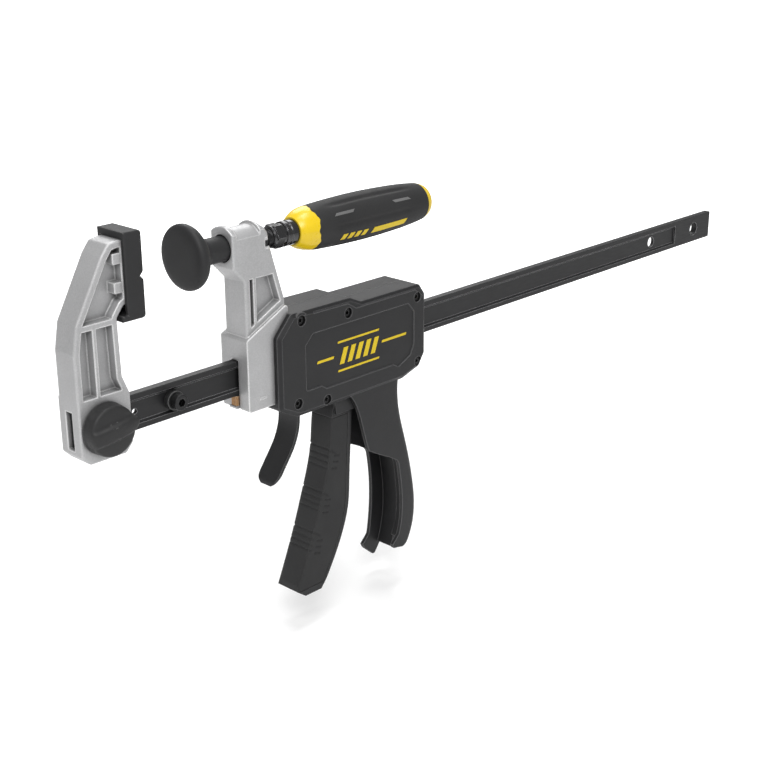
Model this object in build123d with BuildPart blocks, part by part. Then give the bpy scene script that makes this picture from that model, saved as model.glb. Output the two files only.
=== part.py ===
"""Quick release bar clamp: an I-section steel bar with a fixed jaw that unlocks with a knob, and a sliding
jaw whose moulded housing carries a trigger, a release lever and a screw with a fat handle.

The origin is the centre of the screw's clamping pad, on the screw's axis. +X runs along the bar from the
fixed jaw to the tail, +Z points away from the trigger, and -Y faces the side with the lock knob.
"""

import math
import os

from build123d import *

# ---------------------------------------------------------------- driving dimensions, in millimetres
THROAT = 74.0  # screw axis above the bar's centre line
JAW_OPENING = 31.4  # fixed pad to screw pad, as stored
PAD_REACH = 33.6  # screw pad's face to the front of the sliding jaw's block

RUNNING_FIT = 0.06  # radial clearance of a pin or screw that turns
SEAT = 0.15  # clearance of a loose seat between two castings or mouldings

# steel bar
BAR_HEIGHT = 20.0
BAR_THICKNESS = 5.0
BAR_FLANGE = 3.2
BAR_BEVEL = 1.3
BAR_WEB = 2.4
BAR_CORNER = 0.5
BAR_NOSE = 12.5  # bar beyond the lock pin
BAR_PLAIN_NOSE = 26.0  # bar front end without grooves
BAR_LENGTH = 592.5
BAR_PLAIN_TAIL = 48.5
TAIL_HOLE_RADIUS = 5.0
TAIL_HOLE_INSET = 22.5
TAIL_HOLE_CHAMFER = 0.8
STOP_HOLE_RADIUS = 3.9
STOP_HOLE_PITCH = 57.0  # tail hole to the spare hole for the stop screw
DRAIN_HOLE_RADIUS = 1.6
DRAIN_HOLE_SETBACK = 4.5  # behind the fixed pad's face

# stop screw on the bar
STOP_SETBACK = 20.0  # in front of the fixed pad's face
STOP_HEAD_RADIUS = 4.4
STOP_HEAD_HEIGHT = 5.0
STOP_SOCKET_FLATS = 4.2
STOP_SOCKET_DEPTH = 2.6
STOP_BUSH_RADIUS = 5.3
STOP_BUSH_LENGTH = 3.4
STOP_NUT_FLATS = 9.0
STOP_NUT_HEIGHT = 4.0

# fixed jaw casting
JAW_WIDTH = 17.4
JAW_DEPTH = 43.2  # clamping face to the back of the casting
JAW_BACK_STEP = 1.5  # the arm is this much thinner than its foot, on the far side
JAW_RIM = 3.4
JAW_POCKET_DEPTH = 5.6
JAW_FOOT_TOP = 17.0
JAW_FOOT_BOTTOM = 17.5
JAW_SHELF = 53.5  # rib between the two pockets, above the bar's centre line
JAW_RIB = 3.0
JAW_KNEE = 55.5
JAW_HEAD_TOP = 19.4  # top of the casting above the screw axis
JAW_ARM_FRONT = 16.2
JAW_NOSE_BOTTOM = 13.6  # underside of the nose below the screw axis
CAST_EDGE = 1.0

# fixed pad
PAD_FACE = 4.0
PAD_CHEEK = 2.1
PAD_WRAP = 11.0
PAD_ABOVE = 23.2
PAD_BELOW = 22.0
PAD_END = 3.2
PAD_HEEL = 3.0
PAD_GROOVE = 3.0

# lock knob and pin in the fixed jaw's foot
LOCK_SETBACK = 28.5
LOCK_PIN_RADIUS = 3.5
LOCK_PIN_ENTRY = 1.6  # pin beyond the bar, into the far cheek
LOCK_TRAVEL = 6.8
LOCK_COLLAR_RADIUS = 5.2
LOCK_COLLAR = 1.0
LOCK_TUBE_WALL = 1.1
LOCK_TUBE_LENGTH = 12.5  # from the bar's side to the tube's outer lip
LOCK_LIP = 1.2
LOCK_SPRING_WIRE = 0.7
LOCK_SPRING_TURNS = 3
KNOB_RADIUS = 14.3
KNOB_HEIGHT = 11.4
KNOB_CAP = 4.3
KNOB_RIDGE = 5.4
KNOB_SCOOP = 2.6
KNOB_POINTER = 3.0
CLIP_THICKNESS = 0.8

# sliding jaw casting
BLOCK_WIDTH = 21.8
BLOCK_BOTTOM = 18.5
BLOCK_TOP_FRONT = 23.0
BLOCK_TOP_REAR = 38.0
ARM_WIDTH = 17.6
ARM_SETBACK = 2.0
ARM_RIM = 3.4
ARM_POCKET_DEPTH = 5.2
ARM_REAR_TOP = 21.0  # rear edge of the arm behind the block's front, at the screw axis
ARM_REAR_BOTTOM = 30.5  # and at the top of the block
BOSS_FRONT = 5.6  # screw boss in front of the block's front
BOSS_RADIUS = 11.9
BOSS_LENGTH = 23.0
BOSS_CHIN = 10.5  # underside of the boss below the screw axis, at its front
TAIL_BLOCK = 28.5  # casting's rear end inside the housing, behind the block's front
SLOT_CLEARANCE = 0.3
SHOE_HEIGHT = 5.6
SHOE_NOSE = 2.0
KEEPER_THICKNESS = 1.6
DOWEL_RADIUS = 2.0
DOWEL_SETBACK = 24.0
DOWEL_HEIGHT = 14.5

# screw, pad and handle
SPINDLE_RADIUS = 5.0
SPINDLE_PITCH = 3.0
SCREW_PAD_RADIUS = 16.7
SCREW_PAD_RIM = 9.0
SCREW_PAD_NECK = 15.5
HUB_RADIUS = 7.0
HUB_LENGTH = 30.0
PAD_CLIP_RADIUS = 6.0
PAD_FLOOR = 7.0
COUNTERBORE_DEPTH = 12.6
NUT_RADIUS = 7.6
NUT_FLANGE = 1.2
HEX_FLATS = 12.6
HEX_FRONT = 61.0  # hex bolster's front, behind the screw pad's face
HEX_LENGTH = 9.0
COLLAR_RADIUS = 7.2
COLLAR_LENGTH = 3.6
HANDLE_RADIUS = 13.2
HANDLE_NOSE_RADIUS = 8.2
HANDLE_LENGTH = 120.0
GRIP_START = 15.0  # soft grip behind the handle's nose
GRIP_END = 102.0
GRIP_SKIN = 2.2
HANDLE_FLUTES = 6
FLUTE_RADIUS = 5.0
FLUTE_DEPTH = 0.9

# housing
HOUSING_WIDTH = 31.0
HOUSING_WALL = 2.8
HOUSING_FRONT = 19.0  # behind the block's front
HOUSING_LENGTH = 121.0
HOUSING_TOP = 32.4
HOUSING_TOP_REAR = 27.7
HOUSING_STEP = 79.0  # where the top steps down, behind the block's front
HOUSING_BOTTOM = 29.0
HOUSING_EDGE = 2.4
RIB = 2.0
MOUTH_FRONT = 35.0  # opening below for the release lever and the trigger
LABEL_RECESS = 0.6
GRIP_REACH = 80.0  # back of the grip behind the trigger's pivot
GRIP_WIDTH = 29.0
GRIP_WALL = 2.5
GRIP_EDGE = 5.0
GRIP_BOTTOM_NEAR = 142.5
GRIP_BOTTOM_FAR = 151.0
NECK_PANEL_RECESS = 0.8

# housing screws
SCREW_HEAD_RADIUS = 2.9
SCREW_HEAD_HEIGHT = 2.0
SCREW_SHANK_RADIUS = 1.5
SCREW_SINK = 1.2
SCREW_BOSS_RADIUS = 3.4
SCREW_SOCKET = 1.3

# trigger
TRIGGER_WIDTH = 20.0
TRIGGER_PIVOT_X = 60.0  # behind the block's front
TRIGGER_PIVOT_Z = 21.5  # above the bar's centre line
TRIGGER_PIN_RADIUS = 2.5
TRIGGER_EYE_RADIUS = 6.6
FORK_CHEEK = 2.4
FORK_GAP = 18.4
TRIGGER_BOTTOM = 147.5
TRIGGER_SPINE = 4.0  # hard spine left showing behind the soft grip
GRIP_DEPTH = 3.6
GRIP_ROUND = 5.5
SPINE_ROUND = 2.0
FORK_BOTTOM = -38.0  # from the bar's centre line
FORK_BRIDGE = 8.0
PUSH_PIN_RADIUS = 3.0
PUSH_PIN_SETBACK = 1.0  # behind the trigger's pivot
PUSH_PIN_Z = 17.2  # push pin's axis below the bar's centre line

# jam plates
PLATE_THICKNESS = 2.5
PLATE_WIDTH = 16.0
PLATE_CORNER = 1.5
PLATE_WINDOW = 0.3  # window's clearance round the bar
DRIVE_PLATE_TOP = 18.4
DRIVE_PLATE_BOTTOM = 20.6
PLATE_GAP = 0.3
DRIVE_SPRING_RADIUS = 3.4
DRIVE_SPRING_WIRE = 1.0
DRIVE_SPRING_TURNS = 7
DRIVE_SPRING_SEAT = 100.0
BRAKE_PIVOT_X = 44.0
BRAKE_PIVOT_Z = 16.0
BRAKE_TILT = 6.0  # degrees, as it jams on the bar
BRAKE_PIN_RADIUS = 2.0
BRAKE_PLATE_BOTTOM = 19.5
BRAKE_PLATE_ABOVE = 3.6  # plate beyond its pin
BRAKE_PLATE_KNUCKLE = 1.7
BRAKE_SPRING_WIRE = 0.8
BRAKE_SPRING_RADIUS = 3.0
BRAKE_SPRING_TURNS = 4
BRAKE_SPRING_SEAT = 51.0
RELEASE_WIDTH = 16.0
RELEASE_THICKNESS = 2.0
RELEASE_TIP = 71.0
RIVET_RADIUS = 1.2
RIVET_INSET = 3.0  # up from the plate's lower end
RIVET_SPACING = 11.0
RIVET_HEAD_RADIUS = 1.9
RIVET_HEAD = 0.8

# ---------------------------------------------------------------- datums that follow from them
bar_z = -THROAT
fixed_face_x = -JAW_OPENING
lock_x = fixed_face_x - LOCK_SETBACK
bar_front_x = lock_x - BAR_NOSE
bar_tail_x = bar_front_x + BAR_LENGTH
half_bar = BAR_THICKNESS / 2
half_web = BAR_WEB / 2
half_height = BAR_HEIGHT / 2


def side_plane(x, y, z):
    """A plane that faces -Y, with its own x along +X and its own y along +Z."""
    return Plane(origin=(x, y, z), x_dir=(1, 0, 0), z_dir=(0, -1, 0))


def end_plane(x, z=bar_z):
    """A plane that faces +X, with its own x along +Y and its own y along +Z."""
    return Plane(origin=(x, 0, z), x_dir=(0, 1, 0), z_dir=(1, 0, 0))


fixed_side = side_plane(fixed_face_x, 0, bar_z)
sliding_side = side_plane(PAD_REACH, 0, bar_z)

os.makedirs("parts", exist_ok=True)


def save(piece, label):
    """Names the finished piece and writes it as its own STEP file."""
    piece.label = label
    export_step(piece, f"parts/{label}.step")


# ---------------------------------------------------------------- bar
groove_top = half_height - BAR_FLANGE
groove_floor = groove_top - BAR_BEVEL
groove_start_x = bar_front_x + BAR_PLAIN_NOSE
groove_length = BAR_LENGTH - BAR_PLAIN_NOSE - BAR_PLAIN_TAIL
stop_x = fixed_face_x + STOP_SETBACK
tail_hole_x = bar_tail_x - TAIL_HOLE_INSET
lock_hole_radius = LOCK_PIN_RADIUS + RUNNING_FIT
stop_shank_radius = STOP_HOLE_RADIUS - RUNNING_FIT

with BuildPart() as bar:
    with BuildSketch(end_plane(bar_front_x)):
        RectangleRounded(BAR_THICKNESS, BAR_HEIGHT, BAR_CORNER)
    extrude(amount=BAR_LENGTH)
    for side in (-1, 1):
        with BuildSketch(end_plane(groove_start_x)):
            with BuildLine():
                Polyline(
                    (side * (half_bar + BAR_BEVEL), groove_top),
                    (side * half_bar, groove_top),
                    (side * half_web, groove_floor),
                    (side * half_web, -groove_floor),
                    (side * half_bar, -groove_top),
                    (side * (half_bar + BAR_BEVEL), -groove_top),
                    close=True,
                )
            make_face()
        extrude(amount=groove_length, mode=Mode.SUBTRACT)
    with BuildSketch(side_plane(0, 0, bar_z)):
        with Locations((lock_x, 0)):
            Circle(lock_hole_radius)
        with Locations((stop_x, 0), (tail_hole_x - STOP_HOLE_PITCH, 0)):
            Circle(STOP_HOLE_RADIUS)
        with Locations((tail_hole_x, 0)):
            Circle(TAIL_HOLE_RADIUS)
        with Locations((fixed_face_x - DRAIN_HOLE_SETBACK, 0)):
            Circle(DRAIN_HOLE_RADIUS)
    extrude(amount=BAR_THICKNESS, both=True, mode=Mode.SUBTRACT)
    for side in (-1, 1):
        with Locations(Location((tail_hole_x, side * half_bar, bar_z), (90 * side, 0, 0))):
            Cone(
                TAIL_HOLE_RADIUS,
                TAIL_HOLE_RADIUS + TAIL_HOLE_CHAMFER,
                TAIL_HOLE_CHAMFER,
                align=(Align.CENTER, Align.CENTER, Align.MAX),
                mode=Mode.SUBTRACT,
            )
save(bar.part, "bar")

# ---------------------------------------------------------------- stop screw, its bush and its nut
stop_bush_outer = half_web + STOP_BUSH_LENGTH
with BuildPart() as stop_bush:
    with BuildSketch(side_plane(stop_x, -half_web, bar_z)):
        Circle(STOP_BUSH_RADIUS)
        Circle(STOP_HOLE_RADIUS, mode=Mode.SUBTRACT)
    extrude(amount=STOP_BUSH_LENGTH)
save(stop_bush.part, "stop_bush")

with BuildPart() as stop_screw:
    with BuildSketch(side_plane(stop_x, -stop_bush_outer, bar_z)):
        Circle(STOP_HEAD_RADIUS)
    extrude(amount=STOP_HEAD_HEIGHT)
    fillet(stop_screw.edges().group_by(Axis.Y)[0], 0.6)
    with BuildSketch(side_plane(stop_x, -stop_bush_outer, bar_z)):
        Circle(stop_shank_radius)
    extrude(amount=-(stop_bush_outer + half_web + STOP_NUT_HEIGHT))
    with BuildSketch(side_plane(stop_x, -stop_bush_outer - STOP_HEAD_HEIGHT, bar_z)):
        RegularPolygon(STOP_SOCKET_FLATS / 2, 6, major_radius=False)
    extrude(amount=-STOP_SOCKET_DEPTH, mode=Mode.SUBTRACT)
save(stop_screw.part, "stop_screw")

with BuildPart() as stop_nut:
    with BuildSketch(side_plane(stop_x, half_web, bar_z)):
        RegularPolygon(STOP_NUT_FLATS / 2, 6, major_radius=False)
        Circle(STOP_HOLE_RADIUS, mode=Mode.SUBTRACT)
    extrude(amount=-STOP_NUT_HEIGHT)
save(stop_nut.part, "stop_nut")

# ---------------------------------------------------------------- fixed jaw
half_jaw = JAW_WIDTH / 2
bar_slot = BAR_THICKNESS + 2 * SLOT_CLEARANCE
slot_height = BAR_HEIGHT + 2 * SLOT_CLEARANCE
jaw_top_z = THROAT + JAW_HEAD_TOP
nose_bottom_z = THROAT - JAW_NOSE_BOTTOM
arm_front_x = -JAW_ARM_FRONT
lock_tube_inner = LOCK_COLLAR_RADIUS + RUNNING_FIT
lock_tube_radius = lock_tube_inner + LOCK_TUBE_WALL
jaw_outline = [
    (-JAW_DEPTH + 5, -JAW_FOOT_BOTTOM),
    (-JAW_DEPTH, -JAW_FOOT_BOTTOM + 5),
    (-JAW_DEPTH, JAW_KNEE - 14),
    (-JAW_DEPTH + 2.6, JAW_KNEE),
    (-JAW_DEPTH + 20, jaw_top_z - 6.6),
    (-JAW_DEPTH + 24.5, jaw_top_z - 1.0),
    (-JAW_DEPTH + 29, jaw_top_z),
    (-PAD_FACE, jaw_top_z),
    (-PAD_FACE, nose_bottom_z),
    (arm_front_x + 4.5, nose_bottom_z),
    (arm_front_x, nose_bottom_z - 6),
    (arm_front_x + 0.6, JAW_FOOT_TOP + 7),
    (arm_front_x + 4.6, JAW_FOOT_TOP - 3),
    (arm_front_x + 4.6, -JAW_FOOT_BOTTOM + 5),
    (arm_front_x, -JAW_FOOT_BOTTOM),
]

with BuildPart() as fixed_jaw:
    with BuildSketch(fixed_side.offset(half_jaw)):
        with BuildLine():
            FilletPolyline(*jaw_outline, radius=2.0, close=True)
        make_face()
    extrude(amount=-JAW_WIDTH)
    fillet(fixed_jaw.faces().filter_by(Axis.Y).edges(), CAST_EDGE)
    with BuildSketch(fixed_side.offset(-half_jaw)):
        with Locations((-JAW_DEPTH / 2, JAW_FOOT_TOP)):
            Rectangle(2 * JAW_DEPTH, THROAT * 2, align=(Align.CENTER, Align.MIN))
    extrude(amount=JAW_BACK_STEP, mode=Mode.SUBTRACT)
    for plane, depth in (
        (fixed_side.offset(half_jaw), -JAW_POCKET_DEPTH),
        (fixed_side.offset(-half_jaw), JAW_POCKET_DEPTH),
    ):
        with BuildSketch(plane) as jaw_pockets:
            with BuildLine():
                FilletPolyline(*jaw_outline, radius=2.0, close=True)
            make_face()
            offset(amount=-JAW_RIM, mode=Mode.REPLACE)
            with Locations((-JAW_DEPTH, JAW_FOOT_TOP)):
                Rectangle(3 * JAW_DEPTH, 3 * JAW_DEPTH, align=(Align.CENTER, Align.MAX), mode=Mode.SUBTRACT)
            with Locations((-JAW_DEPTH, JAW_SHELF)):
                Rectangle(3 * JAW_DEPTH, JAW_RIB, mode=Mode.SUBTRACT)
            with Locations((-LOCK_SETBACK - 2, JAW_FOOT_TOP)):
                Rectangle(JAW_RIB * 0.7, JAW_SHELF - JAW_FOOT_TOP, align=(Align.CENTER, Align.MIN), mode=Mode.SUBTRACT)
            with Locations((-PAD_WRAP - JAW_RIM, THROAT - 4.2), (-PAD_WRAP - JAW_RIM, THROAT + 10.5)):
                Rectangle(4.6, 5.4, mode=Mode.SUBTRACT)
            with Locations((-PAD_WRAP - 0.8, THROAT)):
                Rectangle(JAW_DEPTH, THROAT, align=(Align.MIN, Align.CENTER), mode=Mode.SUBTRACT)
        extrude(amount=depth, mode=Mode.SUBTRACT)
    with BuildSketch(end_plane(fixed_face_x)):
        Rectangle(bar_slot, slot_height)
    extrude(amount=-2 * JAW_DEPTH, mode=Mode.SUBTRACT)
    with BuildSketch(side_plane(lock_x, -half_bar, bar_z)):
        Circle(lock_tube_radius)
    extrude(amount=half_jaw, mode=Mode.SUBTRACT)
    with BuildSketch(side_plane(lock_x, half_bar, bar_z)):
        Circle(LOCK_PIN_RADIUS + RUNNING_FIT)
    extrude(amount=-(LOCK_PIN_ENTRY + SEAT), mode=Mode.SUBTRACT)
save(fixed_jaw.part, "fixed_jaw")

# ---------------------------------------------------------------- fixed pad, hooked over the jaw's nose
pad_width = JAW_WIDTH + 2 * (SEAT + PAD_CHEEK)
pad_top_z = THROAT + PAD_ABOVE
pad_bottom_z = THROAT - PAD_BELOW
with BuildPart() as fixed_pad:
    with BuildSketch(fixed_side):
        with Locations((0, pad_bottom_z)):
            Rectangle(PAD_WRAP, PAD_ABOVE + PAD_BELOW, align=(Align.MAX, Align.MIN))
            Rectangle(PAD_WRAP + PAD_HEEL, PAD_END, align=(Align.MAX, Align.MIN))
    extrude(amount=pad_width / 2, both=True)
    fillet(fixed_pad.edges().filter_by(Axis.Y).group_by(Axis.X)[-1], 2.0)
    fillet(fixed_pad.faces().filter_by(Axis.Y).edges(), 1.0)
    with BuildSketch(fixed_side):
        with Locations((-PAD_FACE, nose_bottom_z - SEAT)):
            Rectangle(
                3 * PAD_WRAP,
                jaw_top_z - nose_bottom_z + 2 * SEAT,
                align=(Align.MAX, Align.MIN),
            )
        with Locations((-PAD_FACE, pad_bottom_z + PAD_END)):
            Rectangle(3 * PAD_WRAP, THROAT - PAD_BELOW / 2 - pad_bottom_z, align=(Align.MAX, Align.MIN))
    extrude(amount=half_jaw + SEAT, both=True, mode=Mode.SUBTRACT)
    with BuildSketch(fixed_side):
        with BuildLine():
            Polyline(
                (PAD_GROOVE, THROAT + 2 * PAD_GROOVE),
                (-PAD_GROOVE + 0.6, THROAT),
                (PAD_GROOVE, THROAT - 2 * PAD_GROOVE),
                close=True,
            )
        make_face()
    extrude(amount=pad_width, both=True, mode=Mode.SUBTRACT)
save(fixed_pad.part, "fixed_pad")

# ---------------------------------------------------------------- lock: tube, pin, clip, spring and knob
tube_lip_y = -half_bar - LOCK_TUBE_LENGTH
knob_base_y = -half_jaw - 2 * SEAT
knob_top_y = knob_base_y - KNOB_HEIGHT
knob_skirt_y = knob_top_y + KNOB_CAP
clip_groove_depth = 0.8
with BuildPart() as lock_tube:
    with BuildSketch(side_plane(lock_x, -half_bar, bar_z)):
        Circle(lock_tube_radius)
        Circle(lock_tube_inner, mode=Mode.SUBTRACT)
    extrude(amount=LOCK_TUBE_LENGTH)
    with BuildSketch(side_plane(lock_x, tube_lip_y, bar_z)):
        Circle(lock_tube_radius)
        Circle(LOCK_PIN_RADIUS + RUNNING_FIT, mode=Mode.SUBTRACT)
    extrude(amount=-LOCK_LIP)
save(lock_tube.part, "lock_tube")

collar_y = -half_bar - 0.4
clip_y = tube_lip_y - SEAT
pin_outer_y = knob_top_y + KNOB_CAP * 0.4
with BuildPart() as lock_pin:
    with BuildSketch(side_plane(lock_x, half_bar + LOCK_PIN_ENTRY, bar_z)):
        Circle(LOCK_PIN_RADIUS)
    extrude(amount=half_bar + LOCK_PIN_ENTRY - pin_outer_y)
    chamfer(lock_pin.edges().group_by(Axis.Y)[-1], 0.8)
    with BuildSketch(side_plane(lock_x, collar_y, bar_z)):
        Circle(LOCK_COLLAR_RADIUS)
    extrude(amount=LOCK_COLLAR)
    with BuildSketch(side_plane(lock_x, clip_y, bar_z)):
        Circle(LOCK_COLLAR_RADIUS)
        Circle(LOCK_PIN_RADIUS - clip_groove_depth, mode=Mode.SUBTRACT)
    extrude(amount=CLIP_THICKNESS, mode=Mode.SUBTRACT)
save(lock_pin.part, "lock_pin")

with BuildPart() as lock_clip:
    with BuildSketch(side_plane(lock_x, clip_y - RUNNING_FIT, bar_z)):
        Circle(LOCK_COLLAR_RADIUS)
        Circle(LOCK_PIN_RADIUS - clip_groove_depth + RUNNING_FIT, mode=Mode.SUBTRACT)
    extrude(amount=CLIP_THICKNESS - 2 * RUNNING_FIT)
save(lock_clip.part, "lock_clip")

spring_seat_y = tube_lip_y + LOCK_LIP + SEAT
spring_foot_y = collar_y - LOCK_COLLAR - SEAT


def coil(plane, radius, wire, length, turns):
    """A compression spring along the plane's normal, starting on the plane."""
    pitch = (length - wire) / turns
    foot = plane.offset(wire / 2)
    with BuildPart() as spring:
        with BuildLine() as path:
            Helix(pitch=pitch, height=length - wire, radius=radius, center=foot.origin, direction=foot.z_dir)
        with BuildSketch(Plane(origin=path.line @ 0, z_dir=path.line % 0)):
            RegularPolygon(wire / 2, 6)
        sweep(path=path.line, is_frenet=True)
    return spring.part


lock_spring_radius = (LOCK_PIN_RADIUS + lock_tube_inner) / 2
save(
    coil(
        side_plane(lock_x, spring_foot_y, bar_z),
        lock_spring_radius,
        LOCK_SPRING_WIRE,
        spring_foot_y - spring_seat_y,
        LOCK_SPRING_TURNS,
    ),
    "lock_spring",
)

with BuildPart() as lock_knob:
    with BuildSketch(side_plane(lock_x, knob_base_y, bar_z)):
        Circle(KNOB_RADIUS)
        with Locations(Rotation(0, 0, 8)):
            Rectangle(KNOB_RADIUS + KNOB_POINTER, KNOB_RIDGE, align=(Align.MIN, Align.CENTER))
    extrude(amount=KNOB_HEIGHT)
    fillet(lock_knob.faces().sort_by(Axis.Y)[0].edges(), 1.6)
    for side in (-1, 1):
        with BuildSketch(side_plane(lock_x, knob_top_y, bar_z)) as scoop:
            Circle(KNOB_RADIUS - 1.8)
            with Locations(Location((0, 0, 0), (0, 0, 8))):
                Rectangle(
                    4 * KNOB_RADIUS,
                    4 * KNOB_RADIUS,
                    align=(Align.CENTER, Align.MAX if side > 0 else Align.MIN),
                    mode=Mode.SUBTRACT,
                )
                Rectangle(4 * KNOB_RADIUS, KNOB_RIDGE, mode=Mode.SUBTRACT)
        extrude(amount=-KNOB_SCOOP, mode=Mode.SUBTRACT)
    with BuildSketch(side_plane(lock_x, knob_base_y, bar_z)):
        Circle(lock_tube_radius + 0.4)
    extrude(amount=KNOB_HEIGHT - KNOB_CAP, mode=Mode.SUBTRACT)
    with BuildSketch(side_plane(lock_x, 0, bar_z)):
        Circle(LOCK_PIN_RADIUS)
    extrude(amount=-pin_outer_y, mode=Mode.SUBTRACT)
save(lock_knob.part, "lock_knob")

# ---------------------------------------------------------------- sliding jaw casting
half_block = BLOCK_WIDTH / 2
half_arm = ARM_WIDTH / 2
boss_top_z = THROAT + BOSS_RADIUS
boss_rear_x = -BOSS_FRONT + BOSS_LENGTH
arm_outline = [
    (ARM_SETBACK, 0),
    (ARM_SETBACK, THROAT - BOSS_CHIN - 8),
    (-BOSS_FRONT, THROAT - BOSS_CHIN),
    (-BOSS_FRONT, boss_top_z),
    (boss_rear_x - 2.5, boss_top_z),
    (boss_rear_x + 2.0, THROAT + 6),
    (ARM_REAR_TOP, THROAT - 2),
    (ARM_REAR_BOTTOM, BLOCK_TOP_REAR + 2),
    (ARM_REAR_BOTTOM, 0),
]
block_outline = [
    (0, -BLOCK_BOTTOM),
    (0, BLOCK_TOP_FRONT),
    (TAIL_BLOCK + 2, BLOCK_TOP_REAR),
    (TAIL_BLOCK + 2, HOUSING_TOP - HOUSING_WALL - 1.5),
    (TAIL_BLOCK, HOUSING_TOP - HOUSING_WALL - 1.5),
    (TAIL_BLOCK, -BLOCK_BOTTOM),
]
shoe_bottom_z = half_height + SHOE_HEIGHT
spindle_bore = SPINDLE_RADIUS + RUNNING_FIT
pad_axis_x = -PAD_REACH
screw_side = side_plane(0, 0, 0)

with BuildPart() as moving_jaw:
    with BuildSketch(sliding_side.offset(half_arm)):
        with BuildLine():
            FilletPolyline(*arm_outline, radius=1.5, close=True)
        make_face()
    extrude(amount=-ARM_WIDTH)
    with BuildSketch(end_plane(PAD_REACH - 2 * BOSS_FRONT, 0)):
        with Locations((0, 0)):
            Circle(BOSS_RADIUS)
        with Locations((0, BOSS_RADIUS)):
            Rectangle(BLOCK_WIDTH * 2, 6 * BOSS_RADIUS, align=(Align.CENTER, Align.MAX))
        with Locations((0, 0)):
            Rectangle(BLOCK_WIDTH * 4, 4 * BOSS_RADIUS, align=(Align.CENTER, Align.MIN), mode=Mode.SUBTRACT)
            Circle(BOSS_RADIUS)
        with Locations((0, -THROAT - BLOCK_BOTTOM)):
            Rectangle(BLOCK_WIDTH * 2, THROAT + BLOCK_BOTTOM, align=(Align.CENTER, Align.MIN))
    extrude(amount=2 * (BOSS_LENGTH + TAIL_BLOCK), mode=Mode.INTERSECT)
    fillet(moving_jaw.edges().filter_by(Axis.Z).group_by(Axis.X)[-1], 1.0)
    with BuildSketch(sliding_side.offset(half_block)):
        with BuildLine():
            FilletPolyline(*block_outline, radius=1.5, close=True)
        make_face()
    extrude(amount=-BLOCK_WIDTH)
    for plane, depth in (
        (sliding_side.offset(half_arm), -ARM_POCKET_DEPTH),
        (sliding_side.offset(-half_arm), ARM_POCKET_DEPTH),
    ):
        with BuildSketch(plane):
            with BuildLine():
                FilletPolyline(*arm_outline, radius=1.5, close=True)
            make_face()
            offset(amount=-ARM_RIM, mode=Mode.REPLACE)
            with BuildLine():
                Polyline(
                    (-TAIL_BLOCK, BLOCK_TOP_FRONT - 10),
                    (0, BLOCK_TOP_FRONT + ARM_RIM),
                    (TAIL_BLOCK + 2, BLOCK_TOP_REAR + ARM_RIM + 0.5),
                    (3 * TAIL_BLOCK, BLOCK_TOP_REAR + 10),
                    (3 * TAIL_BLOCK, -3 * TAIL_BLOCK),
                    (-TAIL_BLOCK, -3 * TAIL_BLOCK),
                    close=True,
                )
            make_face(mode=Mode.SUBTRACT)
            with Locations((0, THROAT - BOSS_RADIUS - 6)):
                Rectangle(4 * TAIL_BLOCK, THROAT, align=(Align.CENTER, Align.MIN), mode=Mode.SUBTRACT)
            with Locations((ARM_SETBACK + ARM_RIM + 3.4, 0)):
                Rectangle(2.0, 2 * THROAT, align=(Align.CENTER, Align.MIN), mode=Mode.SUBTRACT)
        extrude(amount=depth, mode=Mode.SUBTRACT)
    # slot for the bar, open below, with the shoe in it
    with BuildSketch(end_plane(PAD_REACH - BOSS_FRONT)):
        with Locations((0, half_height + SLOT_CLEARANCE)):
            Rectangle(bar_slot, BLOCK_BOTTOM * 3, align=(Align.CENTER, Align.MAX))
    extrude(amount=3 * TAIL_BLOCK, mode=Mode.SUBTRACT)
    # screw boss: counterbore for the pad's hub, then the nut's bore
    with BuildSketch(end_plane(PAD_REACH - BOSS_FRONT, 0)):
        Circle(HUB_RADIUS + 3 * RUNNING_FIT)
    extrude(amount=COUNTERBORE_DEPTH, mode=Mode.SUBTRACT)
    with BuildSketch(end_plane(PAD_REACH - BOSS_FRONT, 0)):
        Circle(NUT_RADIUS)
    extrude(amount=2 * BOSS_LENGTH, mode=Mode.SUBTRACT)
    with BuildSketch(end_plane(PAD_REACH + boss_rear_x, 0)):
        Circle(NUT_RADIUS + 1.2 + SEAT)
    extrude(amount=BOSS_LENGTH, mode=Mode.SUBTRACT)
    with BuildSketch(sliding_side.offset(half_block)):
        with Locations((DOWEL_SETBACK, DOWEL_HEIGHT), (DOWEL_SETBACK, -DOWEL_HEIGHT)):
            Circle(DOWEL_RADIUS)
    extrude(amount=-2 * BLOCK_WIDTH, mode=Mode.SUBTRACT)
save(moving_jaw.part, "moving_jaw")

# ---------------------------------------------------------------- bar shoe, its keeper and the dowels
with BuildPart() as bar_shoe:
    with BuildSketch(sliding_side):
        with Locations((-SHOE_NOSE, -half_height - SLOT_CLEARANCE)):
            Rectangle(TAIL_BLOCK + SHOE_NOSE, SHOE_HEIGHT, align=(Align.MIN, Align.MAX))
        with Locations((DOWEL_SETBACK, -DOWEL_HEIGHT)):
            Circle(DOWEL_RADIUS, mode=Mode.SUBTRACT)
    extrude(amount=bar_slot / 2, both=True)
    chamfer(bar_shoe.edges().filter_by(Axis.Z).group_by(Axis.X)[0], 1.0)
save(bar_shoe.part, "bar_shoe")

shoe_floor_z = -half_height - SLOT_CLEARANCE - SHOE_HEIGHT
with BuildPart() as shoe_keeper:
    with BuildSketch(sliding_side):
        with Locations((-SHOE_NOSE - 0.6, shoe_floor_z)):
            Rectangle(TAIL_BLOCK * 0.6, KEEPER_THICKNESS, align=(Align.MIN, Align.MAX))
    extrude(amount=bar_slot / 2, both=True)
    fillet(shoe_keeper.edges().filter_by(Axis.Y).group_by(Axis.X)[0], KEEPER_THICKNESS * 0.4)
save(shoe_keeper.part, "shoe_keeper")

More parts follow.
